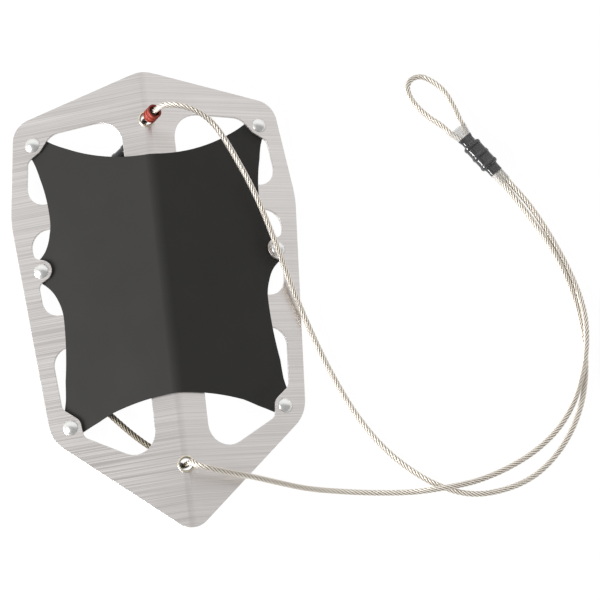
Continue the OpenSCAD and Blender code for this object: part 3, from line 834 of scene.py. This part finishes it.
@dataclass(frozen=True)
class PlateFrame:
    """Where the bent plate lies: found from the swing joint, which is the line through both cable holes."""

    wing_tilt: float = 18.0
    bend_r: float = 8.0
    hole_v: float = 124.0
    low_hole_v: float = -116.0

    @property
    def joint(self) -> dict[str, Any]:
        """The record's swing joint."""
        return next(j for j in frame["joints"] if j["name"] == "bridle_swing")

    @property
    def turn(self) -> Array:
        """Rotation from the plate's frame to the row frame: a pitch about X."""
        _, c, s = -np.array(self.joint["axis"])
        return np.array([[1, 0, 0], [0, c, -s], [0, s, c]])

    @property
    def ridge_drop(self) -> float:
        """How far the bend's middle lies under the wings' meeting line."""
        return self.bend_r * (1 / math.cos(math.radians(self.wing_tilt)) - 1)

    def row_point(self, point: Sequence[float]) -> Array:
        """Turn a point of the plate's frame, in millimetres, into the row frame, in metres.

        Args:
            point: Across, along and over the ridge.

        Returns:
            Row point.
        """
        hole = np.array([0.0, self.hole_v, -self.ridge_drop])
        return np.array(self.joint["pos_m"]) + MM * (self.turn @ (np.array(point, float) - hole))

    def wing_normal(self, side: Side) -> Array:
        """Upward normal of a wing in the row frame."""
        tilt = math.radians(self.wing_tilt)
        return self.turn @ np.array([side.value * math.sin(tilt), 0.0, math.cos(tilt)])

    def wing_point(self, row: Row, side: Side) -> Array:
        """Find a rivet's place on a wing's middle plane.

        Args:
            row: The rivet's row.
            side: Its wing.

        Returns:
            Row point.
        """
        u, v = row.value
        tilt = math.radians(self.wing_tilt)
        return self.row_point((side.value * u * math.cos(tilt), v, -u * math.sin(tilt)))

    def hole_point(self, v: float, run: float = 0.0, lean: float = 0.0, nod: float = 0.0) -> Array:
        """Find the point a run along the cable from a hole's middle.

        Args:
            v: Place of the hole along the ridge.
            run: Distance along the cable, upward positive.
            lean: Lean toward +X in degrees.
            nod: Nod toward +Y in degrees.

        Returns:
            Row point.
        """
        a, b = math.radians(lean), math.radians(nod)
        way = np.array([math.cos(b) * math.sin(a), math.sin(b), math.cos(b) * math.cos(a)])
        return self.row_point(np.array([0.0, v, -self.ridge_drop]) + run * way)


PLATE = PlateFrame()


@dataclass(frozen=True)
class EyeFrame:
    """Where the eye's ferrule lies on the floor: X along the strands toward the loop, Y across them."""

    centre: Point = (233.5, 86.0, 5.22)
    turn: float = 124.0
    strand_half: float = 2.15
    spread_at: float = 14.0
    splay: float = 16.0

    def half_at(self, x: Array | float) -> Array:
        """Half the distance between the strands at a place along X."""
        past = np.maximum(0, np.asarray(x) - self.spread_at)
        return self.strand_half + past * math.tan(math.radians(self.splay))

    def row_points(self, local: Array) -> Array:
        """Turn points of the eye's frame, in millimetres, into the row frame, in metres.

        Args:
            local: Points, one row each.

        Returns:
            Row points.
        """
        c, s = math.cos(math.radians(self.turn)), math.sin(math.radians(self.turn))
        turn = np.array([[c, -s, 0], [s, c, 0], [0, 0, 1]])
        return MM * (local @ turn.T + np.array(self.centre))

    def strand(self, x: float, side: int) -> Point:
        """Point of a strand at a place along X, in row millimetres; side is 1 or -1."""
        local = np.array([[x, side * float(self.half_at(x)), 0.0]])
        return tuple(self.row_points(local)[0] / MM)


EYE = EyeFrame()


# Sub-assemblies


@dataclass
class Plate:
    """The bent plate, its black sheet, six rivets and two eyelets."""

    head_d: float = 10.5
    head_h: float = 2.7
    shank_d: float = 4.8
    tail_d: float = 7.0
    tail_h: float = 1.8
    pole_r: float = 0.04
    stem_cut: float = 0.35
    dome_lap: float = 0.02
    dome_points: int = 28
    sheet_t: float = 1.0
    washer_t: float = 0.8
    plate_t: float = 2.0
    bore_d: float = 8.4
    bore_fade: float = 0.5
    fold_half: float = 6.0
    dip_slope: float = 26.0
    plate_soft: Softening = Softening(edge=0.3, crease=35.0, merge=0.04)
    sheet_soft: Softening = Softening(edge=0.2, crease=35.0)
    eyelet_soft: Softening = Softening(edge=0.12, crease=50.0)

    def rivet_profile(self) -> Array:
        """Profile of a rivet over the wing's middle plane: a formed tail, a shank and a dome.

        The dome is part of a sphere of radius (h^2 + d^2 / 4) / (2 h), with h its height and d its width.

        Returns:
            Radius and height of each point.
        """
        dome_r = (self.head_h ** 2 + self.head_d ** 2 / 4) / (2 * self.head_h)
        top = self.plate_t / 2
        under = -self.plate_t / 2 - self.sheet_t - self.washer_t
        r = np.linspace(self.head_d / 2, self.pole_r, self.dome_points)
        z = top + self.head_h - dome_r + np.sqrt(dome_r ** 2 - r ** 2)
        dome = np.stack([r, z], 1)
        stem = rounded([
            (self.pole_r, under - self.tail_h), (self.tail_d / 2, under - self.tail_h),
            (self.tail_d / 2, under), (self.shank_d / 2, under),
            (self.shank_d / 2, top), (self.head_d / 2 - self.dome_lap, top),
        ], self.stem_cut, closed=False)
        return np.concatenate([stem, dome])

    def mark_bore(self, piece: bpy.types.Object, v: float) -> None:
        """Write the attribute bore: 1 within the bore's radius of the hole's axis, falling to 0 on the rim.

        Args:
            piece: An eyelet.
            v: Its hole's place along the ridge.
        """
        away = (points_of(piece.data) - PLATE.hole_point(v)) / MM
        radius = np.linalg.norm(np.cross(away, PLATE.turn @ np.array([0.0, 0.0, 1.0])), axis=1)
        bore = np.clip((self.bore_d / 2 + self.bore_fade - radius) / self.bore_fade, 0, 1)
        write_attribute(piece.data, "bore", bore)

    def calm_dips(self, sheet: bpy.types.Object) -> None:
        """Shade the shallow dips at the rivets with the wing: the real sheet flexes there without a crease.

        The edges are softened for good first. Then each corner outside the fold whose normal lies within
        dip_slope degrees of its wing's normal, over or under, takes that normal.

        Args:
            sheet: The black sheet.
        """
        rough = sheet.data
        mesh = bpy.data.meshes.new_from_object(sheet.evaluated_get(bpy.context.evaluated_depsgraph_get()))
        sheet.modifiers.clear()
        sheet.data = mesh
        bpy.data.meshes.remove(rough)
        mesh.name = sheet.name
        normal = np.empty(3 * len(mesh.loops))
        mesh.corner_normals.foreach_get("vector", normal)
        normal = normal.reshape(-1, 3)
        out = points_of(mesh)[corners_of(mesh), 0] / MM
        for side in Side:
            for flat in (PLATE.wing_normal(side), -PLATE.wing_normal(side)):
                shallow = normal @ flat > math.cos(math.radians(self.dip_slope))
                normal[shallow & (out * side.value > self.fold_half)] = flat
        mesh.normals_split_custom_set(normal.tolist())

    def build(self) -> None:
        """Make the sheets, rivets and eyelets, and dress the washers and rings."""
        merged_copy("frame_plate", "brushed_plate", PLATE_FINISH, Body.FLUKE, self.plate_soft)
        self.calm_dips(merged_copy("snow_panel", "black_sheet", SHEET_FINISH, Body.FLUKE, self.sheet_soft))
        profile = self.rivet_profile()
        for row in Row:
            for side in Side:
                place = f"{row.name}_{side.name}".lower()
                grid = lathe(profile, PLATE.wing_point(row, side), PLATE.wing_normal(side))
                grid_piece(f"rivet_{place}_dome", grid, Ends.CAPPED, RIVET_FINISH, Body.FLUKE,
                           f"rivet_{place}")
                dress_node(f"washer_{place}", WASHER_FINISH)
        for node, v in (("upper_eyelet", PLATE.hole_v), ("lower_eyelet", PLATE.low_hole_v)):
            piece = merged_copy(node, f"{node}_rim", EYELET_FINISH, Body.FLUKE, self.eyelet_soft)
            self.mark_bore(piece, v)
            dress_node(f"{node}_ring", EYELET_FINISH)


@dataclass
class Stop:
    """The red sleeve at the upper eyelet, with the ferrule inside it."""

    at: float = 4.8
    length: float = 8.4
    bands: int = 7
    ring_r: float = 5.0
    groove: float = 0.5
    bore_r: float = 3.6
    hole_r: float = 2.2
    floor_t: float = 0.54
    softness: float = 0.32
    lean: float = 24.0
    nod: float = 6.0

    def profile(self) -> Array:
        """Closed profile: three soft rings outside, the open bore and its floor inside.

        Seven bands make up the length: each ring is one band wide, and each groove between them two.

        Returns:
            Radius and height of each point.
        """
        band, low = self.length / self.bands, self.ring_r - self.groove
        rings = [corner for k in (0, 3, 6) for corner in (
            (low, k * band), (self.ring_r, k * band),
            (self.ring_r, (k + 1) * band), (low, (k + 1) * band))]
        outside = [(self.hole_r, 0.0), *rings[1:-1]]
        inside = [
            (self.bore_r, self.bands * band), (self.bore_r, self.floor_t), (self.hole_r, self.floor_t)]
        return rounded(outside + inside, self.softness, steps=5)

    def build(self) -> None:
        """Turn the sleeve about the cable's line through the upper hole, and dress its ferrule."""
        start, ahead = (
            PLATE.hole_point(PLATE.hole_v, run, self.lean, self.nod) for run in (self.at, self.at + 1))
        grid = lathe(self.profile(), start, (ahead - start) / MM)
        grid_piece("red_sleeve", grid, Ends.JOINED, RED_FINISH, Body.COLLAR, "red_stop_sleeve")
        # The ferrule's dark colour is painted shade in the sleeve's bore.
        dress_node("stop_ferrule", COPPER_SHADE_FINISH)


@dataclass
class BackFerrule:
    """The ferrule behind the spine and its ridged black sleeve."""

    centre: Point = (-21.5, 104.0, 12.5)
    turn: float = 34.0
    rise: float = 24.0
    length: float = 20.0
    ferrule_r: float = 4.06
    wall: float = 1.0
    ridge: float = 0.5
    hole_r: float = 2.1
    softness: float = 0.6

    @property
    def axis(self) -> Array:
        """Unit vector toward the upper eyelet."""
        a, b = math.radians(self.turn), math.radians(self.rise)
        return np.array([math.cos(b) * math.cos(a), math.cos(b) * math.sin(a), math.sin(b)])

    def at(self, run: float) -> Point:
        """Point on the axis in row millimetres, a run from the middle."""
        return tuple(np.array(self.centre) + run * self.axis)

    def profile(self) -> Array:
        """Closed profile of the sleeve: three ridges outside, the ferrule's room inside.

        Returns:
            Radius and height of each point.
        """
        out, high = self.ferrule_r + self.wall, self.ferrule_r + self.wall + self.ridge
        half, end, band = self.length / 2, self.length / 2 + self.wall, self.length / RIDGE_PARTS
        ridges = [corner for c in (-half + band / 2, 0.0, half - band / 2) for corner in (
            (out, c - band / 2), (high, c - band / 2), (high, c + band / 2), (out, c + band / 2))]
        outside = [(self.hole_r, -end), (out, -end), *ridges, (out, end), (self.hole_r, end)]
        inside = [
            (self.hole_r, half), (self.ferrule_r, half), (self.ferrule_r, -half), (self.hole_r, -half)]
        return rounded(outside + inside, self.softness, steps=5)

    def build(self) -> None:
        """Turn the sleeve and dress the ferrule inside it."""
        grid = lathe(self.profile(), MM * np.array(self.centre), self.axis)
        grid_piece("back_shrink_sleeve", grid, Ends.JOINED, SHRINK_FINISH, Body.FLUKE, "back_sleeve")
        dress_node("back_ferrule", FERRULE_FINISH)


@dataclass
class EyeSleeves:
    """The black and clear shrink sleeves over the eye's ferrule."""

    ferrule_half: float = 10.0
    body_half: float = 10.6
    black_half: float = 17.0
    clear_half: float = 25.5
    neck_r: float = 2.2
    ferrule_r: float = 3.66
    black_r: float = 4.26
    black_neck_r: float = 2.8
    clear_play: float = 0.06
    clear_wall: float = 0.4
    ridge: float = 0.5
    body_soft: float = 0.55 / 2
    ridge_soft: float = 0.55 / 3
    step: float = 0.2
    points_per_half: int = 33

    def places(self, half: float) -> Array:
        """Even places along X from one end of a sleeve to the other."""
        return np.linspace(-half, half, int(2 * half / self.step) + 1)

    def body(self, x: Array, neck_r: float, body_r: float, half: float, ridge: float) -> Array:
        """Radius along X: a neck, a body over the ferrule, and three ridges on it, all softened.

        Each edge is a logistic step, so that the tube looks shrunk on.

        Args:
            x: Places along the strands.
            neck_r: Radius round each strand past the ferrule.
            body_r: Radius round each strand over the ferrule.
            half: Half length of the body.
            ridge: Height of the ridges.

        Returns:
            Radius at each place.
        """
        r = neck_r + (body_r - neck_r) * window(x, 0.0, half, self.body_soft)
        reach = self.ferrule_half / RIDGE_PARTS
        for c in (-self.ferrule_half + reach, 0.0, self.ferrule_half - reach):
            r = r + ridge * window(x, c, reach, self.ridge_soft)
        return r

    def skin(self, x: Array, r: Array) -> Array:
        """Stadium sections round the two strands: two half circles apart by the strands' distance.

        Args:
            x: Places along the strands.
            r: Radius at each place.

        Returns:
            Grid of row points in metres, places by points round.
        """
        n = self.points_per_half
        a = np.linspace(-math.pi / 2, math.pi / 2, n)
        angle = np.concatenate([a, a + math.pi])
        side = np.concatenate([np.ones(n), -np.ones(n)])
        y = side[None] * EYE.half_at(x)[:, None] + r[:, None] * np.cos(angle)[None]
        z = r[:, None] * np.sin(angle)[None]
        local = np.stack([np.broadcast_to(x[:, None], y.shape), y, z], -1)
        return EYE.row_points(local.reshape(-1, 3)).reshape(local.shape)

    def tube(self, x: Array, outer: Array, inner: Array) -> Array:
        """Closed wall: the outer skin one way along X and the inner skin back."""
        return np.concatenate([self.skin(x, outer), self.skin(x[::-1], inner[::-1])])

    def black_tube(self) -> None:
        """Make the black sleeve: it follows the ferrule inside, and has its three ridges outside."""
        x = self.places(self.black_half)
        inner = self.body(x, self.neck_r, self.ferrule_r, self.ferrule_half, 0.0)
        outer = self.body(x, self.black_neck_r, self.black_r, self.body_half, self.ridge)
        grid_piece("eye_black_tube", self.tube(x, outer, inner), Ends.JOINED, SHRINK_FINISH, Body.BRIDLE,
                   "eye_black_sleeve")

    def clear_tube(self) -> None:
        """Make the clear sleeve: it clings to the black one, and to the strands past its ends.

        Its attribute milk goes from 0 over the black sleeve to 1 past it.
        """
        x = self.places(self.clear_half)
        over = self.body(x, self.black_neck_r, self.black_r, self.body_half, self.ridge)
        cling = window(x, 0.0, self.black_half, self.ridge_soft)
        inner = self.clear_play + self.neck_r + (over - self.neck_r) * cling
        grid = self.tube(x, inner + self.clear_wall, inner)
        piece = grid_piece("eye_clear_tube", grid, Ends.JOINED, CLEAR_FINISH, Body.BRIDLE,
                           "eye_clear_sleeve")
        milk = np.concatenate([1 - cling, 1 - cling[::-1]])
        write_attribute(piece.data, "milk", np.repeat(milk, grid.shape[1]))

    def build(self) -> None:
        """Make both sleeves and dress the ferrule inside them."""
        self.black_tube()
        self.clear_tube()
        dress_node("eye_ferrule", FERRULE_FINISH)


BACK = BackFerrule()
STOP = Stop()
SLEEVES = EyeSleeves()


@dataclass
class Rope:
    """One run of the cable: six strands laid right-handed round a core, along a route.

    The section is six touching circles set round a core. It turns once in each lay length, so the
    strands wind along the rope.
    """

    name: str
    node: str
    route: list[Point]
    far_end: str
    far_pieces: tuple[str, ...] = ()
    finish: WireRope = ROPE_FINISH
    diameter: float = 4.0
    lay: float = 19.0
    strands: int = 6
    fill: float = 0.8
    points_per_strand: int = 10
    points_per_stretch: int = 40
    step: float = 0.8
    path: Array = field(init=False)

    def __post_init__(self) -> None:
        """Work out the smooth path once."""
        self.path = self.smooth_path()

    def smooth_path(self) -> Array:
        """Centripetal Catmull-Rom curve through the route, resampled at an even step.

        Each stretch is a cubic whose end slopes come from its neighbours, weighed by the square root of
        their distances.

        Returns:
            Path points in metres.
        """
        p = np.array(self.route, float)
        p = np.concatenate([2 * p[:1] - p[1:2], p, 2 * p[-1:] - p[-2:-1]])
        gap = np.sqrt(np.linalg.norm(np.diff(p, axis=0), axis=1))[:, None]
        p0, p1, p2, p3 = p[:-3], p[1:-2], p[2:-1], p[3:]
        g0, g1, g2 = gap[:-2], gap[1:-1], gap[2:]
        m1 = g1 * ((p1 - p0) / g0 - (p2 - p0) / (g0 + g1) + (p2 - p1) / g1)
        m2 = g1 * ((p2 - p1) / g1 - (p3 - p1) / (g1 + g2) + (p3 - p2) / g2)
        t = np.linspace(0, 1, self.points_per_stretch, endpoint=False)[None, :, None]
        curve = ((2 * t ** 3 - 3 * t ** 2 + 1) * p1[:, None] + (t ** 3 - 2 * t ** 2 + t) * m1[:, None]
                 + (3 * t ** 2 - 2 * t ** 3) * p2[:, None] + (t ** 3 - t ** 2) * m2[:, None]).reshape(-1, 3)
        curve = np.concatenate([curve, p[-2:-1]])
        run = np.concatenate([[0], np.cumsum(np.linalg.norm(np.diff(curve, axis=0), axis=1))])
        even = np.linspace(0, run[-1], int(run[-1] / self.step) + 1)
        return MM * np.stack([np.interp(even, run, curve[:, k]) for k in range(3)], 1)

    @property
    def length_m(self) -> float:
        """Length of the path."""
        return float(np.linalg.norm(np.diff(self.path, axis=0), axis=1).sum())

    def frames(self) -> tuple[Array, Array]:
        """Carry two normals along the path with as little twist as they can have.

        Returns:
            Both normals at each path point.
        """
        tangent = np.gradient(self.path, axis=0)
        tangent /= np.linalg.norm(tangent, axis=1, keepdims=True)
        normal = np.empty_like(tangent)
        normal[0] = square_to(tangent[0])[0]
        for i in range(1, len(tangent)):
            flat = normal[i - 1] - tangent[i] * (normal[i - 1] @ tangent[i])
            normal[i] = flat / np.linalg.norm(flat)
        return normal, np.cross(tangent, normal)

    def section(self) -> tuple[Array, Array]:
        """Work out the outline of the six strands.

        Over each strand the radius is c cos a + sqrt(s^2 - c^2 sin^2 a), with a the angle from the
        strand's middle, c its distance from the core and s its own radius. Wires and grease fill the
        grooves up to a share of the rope's radius.

        Returns:
            Angle in radians and radius in millimetres of each point round the section.
        """
        count = self.strands * self.points_per_strand
        angle = np.linspace(0, 2 * math.pi, count, endpoint=False)
        pitch = 2 * math.pi / self.strands
        a = (angle + pitch / 2) % pitch - pitch / 2
        c = self.diameter / 2 / (1 + math.sin(pitch / 2))
        s = self.diameter / 2 - c
        lobe = c * np.cos(a) + np.sqrt(np.maximum(s ** 2 - (c * np.sin(a)) ** 2, 0))
        return angle, np.maximum(lobe, self.fill * self.diameter / 2)

    def lay_map(self, mesh: bpy.types.Mesh, columns: int, run: Array) -> None:
        """Write the map "run": strands round against millimetres along.

        Args:
            mesh: The rope's mesh.
            columns: Points in each ring.
            run: Distance along the rope of each ring, in millimetres.
        """
        corner = corners_of(mesh)
        total = np.empty(len(mesh.polygons), np.int64)
        mesh.polygons.foreach_get("loop_total", total)
        column = corner % columns
        seam = np.repeat(np.arange(len(total)) % columns == columns - 1, total)
        strand = np.where(seam & (column == 0), columns, column) / self.points_per_strand
        write_map(mesh, "run", np.stack([strand, run[corner // columns]], 1))

    def build(self) -> bpy.types.Object:
        """Sweep the section along the path.

        Returns:
            The rope's object, which still needs its body.
        """
        angle, radius = self.section()
        normal, side = self.frames()
        run = np.linspace(0, self.length_m / MM, len(self.path))
        turn = angle[None] + 2 * math.pi * run[:, None] / self.lay
        ring = np.cos(turn)[..., None] * normal[:, None] + np.sin(turn)[..., None] * side[:, None]
        grid = self.path[:, None] + MM * radius[None, :, None] * ring
        rows, columns = grid.shape[:2]
        mesh = grid_mesh(self.name, grid, Ends.CAPPED)
        high = self.diameter / 2
        write_attribute(mesh, "groove", np.tile((high - radius) / (high - radius.min()), rows))
        self.lay_map(mesh, columns, run)
        obj = add_object(self.name, mesh)
        self.finish.put_on(obj)
        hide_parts(self.node)
        LOG.info("%s: %.1f mm of rope, %d faces", self.name, self.length_m / MM, len(mesh.polygons))
        return obj


@dataclass
class Bridle:
    """The wire cable: two legs from the eyelets to the eye, its loop, and the bow behind the plate."""

    leg_start: float = 3.0
    low_leg_start: float = 4.0
    low_leg_rise: float = 8.0
    under_run: float = 5.5
    low_lean: float = 26.0
    stop_end: float = 13.8
    splay_end: float = 26.5
    bend_from: float = -40.6
    bend_to: float = 90.0
    upper_bend: tuple[Point, Point] = ((-53.0, 180.1, 0.0), (108.4, 9.3, 0.0))
    tip_from: float = -8.0
    tip_match: float = 0.012
    runs: list[tuple[Rope, bpy.types.Object]] = field(default_factory=list)

    def stop(self, run: float) -> Point:
        """Point of the cable at the upper hole, in row millimetres."""
        return tuple(PLATE.hole_point(PLATE.hole_v, run, STOP.lean, STOP.nod) / MM)

    def low(self, run: float) -> Point:
        """Point of the cable at the lower hole, in row millimetres."""
        return tuple(PLATE.hole_point(PLATE.low_hole_v, run, self.low_lean) / MM)

    def upper_leg(self) -> Rope:
        """Leg from the red stop over the sheet and round to the eye."""
        return Rope("cable_upper_leg", "upper_leg", [
            self.stop(self.leg_start), self.stop(self.stop_end), (10.7, 125.2, 54), (20.5, 123.2, 57.2),
            (33, 118.6, 55), (44.2, 110.4, 47.5), (60.5, 84.3, 31), (70.8, 61.2, 20.5), (79, 35, 13.5),
            (87.5, 1, 9), (97, -30, 4), (106.5, -58, 2.1), (121.5, -92.5, 2.1), (140, -120, 2.1),
            (165, -142, 2.1), (189, -152.5, 2.1), (212.5, -152.5, 2.1), (236, -145, 2.1),
            (257, -128.5, 2.1), (273, -106, 2.1), (282.5, -80, 2.1), (286, -47, 2.1),
            (283, -18.5, 2.1), (274.5, 11.5, 2.1), (259.5, 42, 3),
            EYE.strand(-SLEEVES.clear_half, 1), EYE.strand(SLEEVES.ferrule_half, 1),
        ], "fitting", ("eye_black_tube",))

    def lower_leg(self) -> Rope:
        """Leg from the lower eyelet along the floor, over the upper leg and round to the eye."""
        return Rope("cable_lower_leg", "lower_leg", [
            self.low(self.low_leg_start), self.low(self.low_leg_rise), (6.5, -119.5, 38), (12, -121.5, 38.2),
            (19, -123.5, 35.5), (31, -126, 29), (46, -129.2, 21), (62, -133.2, 13.5), (79, -137.3, 7),
            (97, -140.4, 3), (125, -144.7, 2.1), (150, -147.3, 3.6), (164, -147.6, 5.9), (173.5, -147.2, 6.4),
            (183, -146.5, 6), (198, -144, 3.8), (220, -137.2, 2.1), (241, -127, 2.1),
            (258, -114, 2.1), (270, -99.3, 2.3), (277.5, -84.5, 4.6), (284, -66, 6.3),
            (287.7, -47.5, 6), (288.4, -32.5, 4.6), (286.3, -15, 2.4), (278, 13, 2.1), (264, 44.5, 3),
            EYE.strand(-SLEEVES.clear_half, -1), EYE.strand(SLEEVES.ferrule_half, -1),
        ], "fitting", ("eye_clear_tube",))

    def upper_tail(self) -> Rope:
        """Short run from the upper eyelet into the ferrule behind the spine."""
        return Rope("cable_upper_tail", "upper_tail", [
            self.stop(self.leg_start), self.stop(-self.under_run), (-4.5, 119, 23), (-8.5, 113.4, 19.7),
            BACK.at(10), BACK.at(1),
        ], "object", finish=SHADED_ROPE_FINISH)

    def back_bow(self) -> Rope:
        """Run behind the plate from the ferrule to the lower eyelet."""
        return Rope("cable_back_bow", "back_bow", [
            self.low(self.low_leg_start), self.low(-self.under_run), (-10, -108.5, 16.5), (-23, -97.8, 12),
            (-38, -81.5, 6), (-53, -61, 2.4), (-62, -30, 2.1), (-62.5, 6, 2.1), (-57.5, 43, 2.1),
            (-48.5, 73.5, 2.8), (-39, 89.5, 4.9), BACK.at(-10), BACK.at(-1),
        ], "object", finish=SHADED_ROPE_FINISH)

    def eye_loop(self) -> Rope:
        """Loop of the eye, out of the ferrule and back into it."""
        return Rope("cable_eye_loop", "eye_loop", [
            EYE.strand(SLEEVES.ferrule_half, 1), EYE.strand(EYE.spread_at, 1), EYE.strand(self.splay_end, 1),
            (209.5, 110.5, 4.4), (201.5, 118, 3.8), (195, 126, 3.2), (190.5, 134.5, 2.7),
            (189.5, 143, 2.3), (193, 148.5, 2.2), (200, 150, 2.2), (208, 145.5, 2.3), (215, 137.5, 2.6),
            (220, 125.5, 3.2), EYE.strand(self.splay_end, -1), EYE.strand(EYE.spread_at, -1),
            EYE.strand(SLEEVES.ferrule_half, -1),
        ], "object")

    def bend_with_swing(self, obj: bpy.types.Object, start: Point, end: Point) -> None:
        """Bake a leg's place into its mesh, where it stays unbent.

        Args:
            obj: The leg's object.
            start: Row point, in millimetres; not used.
            end: Row point, in millimetres; not used.
        """
        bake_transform(obj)

    def bend_in_hole(self, obj: bpy.types.Object, under: Point, over: Point) -> None:
        """Bake a fixed run's place into its mesh, where it stays unbent.

        Args:
            obj: The fixed run's object.
            under: Row point, in millimetres; not used.
            over: Row point, in millimetres; not used.
        """
        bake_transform(obj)

    def build(self) -> None:
        """Make every run of the cable, bake the runs in place, and put the eye's loop on the bridle."""
        ropes = self.upper_leg(), self.lower_leg(), self.upper_tail(), self.back_bow(), self.eye_loop()
        upper, lower, tail, bow, loop = made = [rope.build() for rope in ropes]
        self.bend_with_swing(upper, *self.upper_bend)
        self.bend_with_swing(lower, (self.bend_from, 0.0, 0.0), (self.bend_to, 0.0, 0.0))
        self.bend_in_hole(tail, self.stop(self.tip_from), self.stop(self.leg_start))
        self.bend_in_hole(bow, self.low(self.tip_from), self.low(self.low_leg_start))
        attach(loop, Body.BRIDLE.value)
        self.runs = list(zip(ropes, made))


# Studio


@dataclass
class Studio:
    """Camera at the photograph's place, pale floor, white surround and a soft lamp."""

    camera_at: Point = (-80.19, -364.87, 1320.36)
    right: Point = (0.98722, -0.12856, 0.09422)
    up: Point = (0.09849, 0.95681, 0.27352)
    back: Point = (-0.12531, -0.26074, 0.95724)
    lens: float = 120.0
    sensor: float = 36.0
    clip_m: Pair = (0.01, 50.0)
    floor_half_m: float = 4.0
    floor_drop: float = 0.3
    paper: str = "#E8E8E8"
    paper_seen: tuple[float, float, float, float] = (0.12, 0.12, 0.12, 1.0)
    paper_glow: float = 0.96
    world_strength: float = 0.28
    reflect_way: Point = (0.2, 1.0, 0.0)
    reflect_span: Pair = (0.0, 0.45)
    reflect_tone: Pair = (0.45, 1.1)
    key_at_m: Point = (-1.95, -0.6, 0.62)
    key_size_m: float = 1.1
    key_power: float = 64.0

    def camera(self) -> None:
        """Place the camera: focal length is 2000 pixels for a frame 600 pixels wide."""
        data = bpy.data.cameras.new("photo_camera")
        data.lens, data.sensor_width, data.sensor_fit = self.lens, self.sensor, "HORIZONTAL"
        data.clip_start, data.clip_end = self.clip_m
        obj = add_object("photo_camera", data)
        turn = Matrix((self.right, self.up, self.back)).transposed().to_4x4()
        obj.matrix_world = Matrix.Translation([MM * v for v in self.camera_at]) @ turn
        bpy.context.scene.camera = obj

    def seen_white(self, tree: Tree) -> Socket:
        """Tell the rays that show the floor from those that only light by it.

        Args:
            tree: Node tree that takes the nodes.

        Returns:
            Factor socket, 1 for camera, glossy and transmission rays.
        """
        path = add_node(tree, "ShaderNodeLightPath")
        direct = either(tree, path.outputs["Is Camera Ray"], path.outputs["Is Glossy Ray"])
        return either(tree, direct, path.outputs["Is Transmission Ray"])

    def floor(self) -> None:
        """Lay a white floor that shows as white paper and still takes the object's soft shadow."""
        h, z = self.floor_half_m, -self.floor_drop * MM
        mesh = bpy.data.meshes.new("floor")
        mesh.from_pydata([(-h, -h, z), (h, -h, z), (h, h, z), (-h, h, z)], [], [(0, 1, 2, 3)])
        paper = bpy.data.materials.new("white_paper")
        tree = empty_tree(paper)
        matte = add_node(tree, "ShaderNodeBsdfDiffuse", {"Color": linear(self.paper)})
        faint = add_node(tree, "ShaderNodeBsdfDiffuse", {"Color": self.paper_seen})
        glow = add_node(tree, "ShaderNodeEmission", {"Color": WHITE, "Strength": self.paper_glow})
        shown = add_node(tree, "ShaderNodeAddShader", {0: faint.outputs[0], 1: glow.outputs[0]})
        mixed = add_node(tree, "ShaderNodeMixShader", {
            0: self.seen_white(tree), 1: matte.outputs[0], 2: shown.outputs[0]})
        add_node(tree, "ShaderNodeOutputMaterial", {"Surface": mixed.outputs[0]})
        mesh.materials.append(paper)
        add_object("floor", mesh)

    def world(self) -> None:
        """White where it is seen, also through clear pieces; a softer light where it only lights.

        Metal sees it white behind the object and greyer toward the camera's side, as in a room with one
        white wall: the tone runs with the way of the ray along reflect_way.
        """
        world = bpy.data.worlds.new("white_surround")
        bpy.context.scene.world = world
        tree = empty_tree(world)
        way = add_node(tree, "ShaderNodeTexCoord")
        along = add_node(tree, "ShaderNodeVectorMath", {
            0: way.outputs["Generated"], 1: self.reflect_way}, operation="DOT_PRODUCT")
        tone = remap(tree, along.outputs["Value"], self.reflect_tone, self.reflect_span)
        soft, white, graded = (
            add_node(tree, "ShaderNodeBackground", {"Color": WHITE, "Strength": strength}).outputs[0]
            for strength in (self.world_strength, 1.0, tone))
        path = add_node(tree, "ShaderNodeLightPath")
        lit = add_node(tree, "ShaderNodeMixShader", {0: path.outputs["Is Glossy Ray"], 1: soft, 2: graded})
        shown = either(tree, path.outputs["Is Camera Ray"], path.outputs["Is Transmission Ray"])
        mixed = add_node(tree, "ShaderNodeMixShader", {0: shown, 1: lit.outputs[0], 2: white})
        add_node(tree, "ShaderNodeOutputWorld", {"Surface": mixed.outputs[0]})

    def key_lamp(self) -> None:
        """Hang a square soft lamp on the left, facing the middle of the frame."""
        data = bpy.data.lights.new("key_left", "AREA")
        data.shape, data.size, data.energy = "SQUARE", self.key_size_m, self.key_power
        back = np.array(self.key_at_m)
        back /= np.linalg.norm(back)
        first, second = square_to(back)
        turn = Matrix((tuple(first), tuple(second), tuple(back))).transposed().to_4x4()
        add_object("key_left", data).matrix_world = Matrix.Translation(self.key_at_m) @ turn

    def build(self) -> None:
        """Set the whole studio."""
        bpy.context.scene.view_settings.view_transform = "Standard"
        self.camera()
        self.floor()
        self.world()
        self.key_lamp()


def main() -> None:
    """Build the studio, the cable and every sub-assembly in order."""
    logging.basicConfig(level=logging.INFO, format="%(name)s %(message)s")
    Studio().build()
    bridle = Bridle()
    bridle.build()
    Plate().build()
    STOP.build()
    BACK.build()
    SLEEVES.build()


if __name__ == "__main__":
    main()
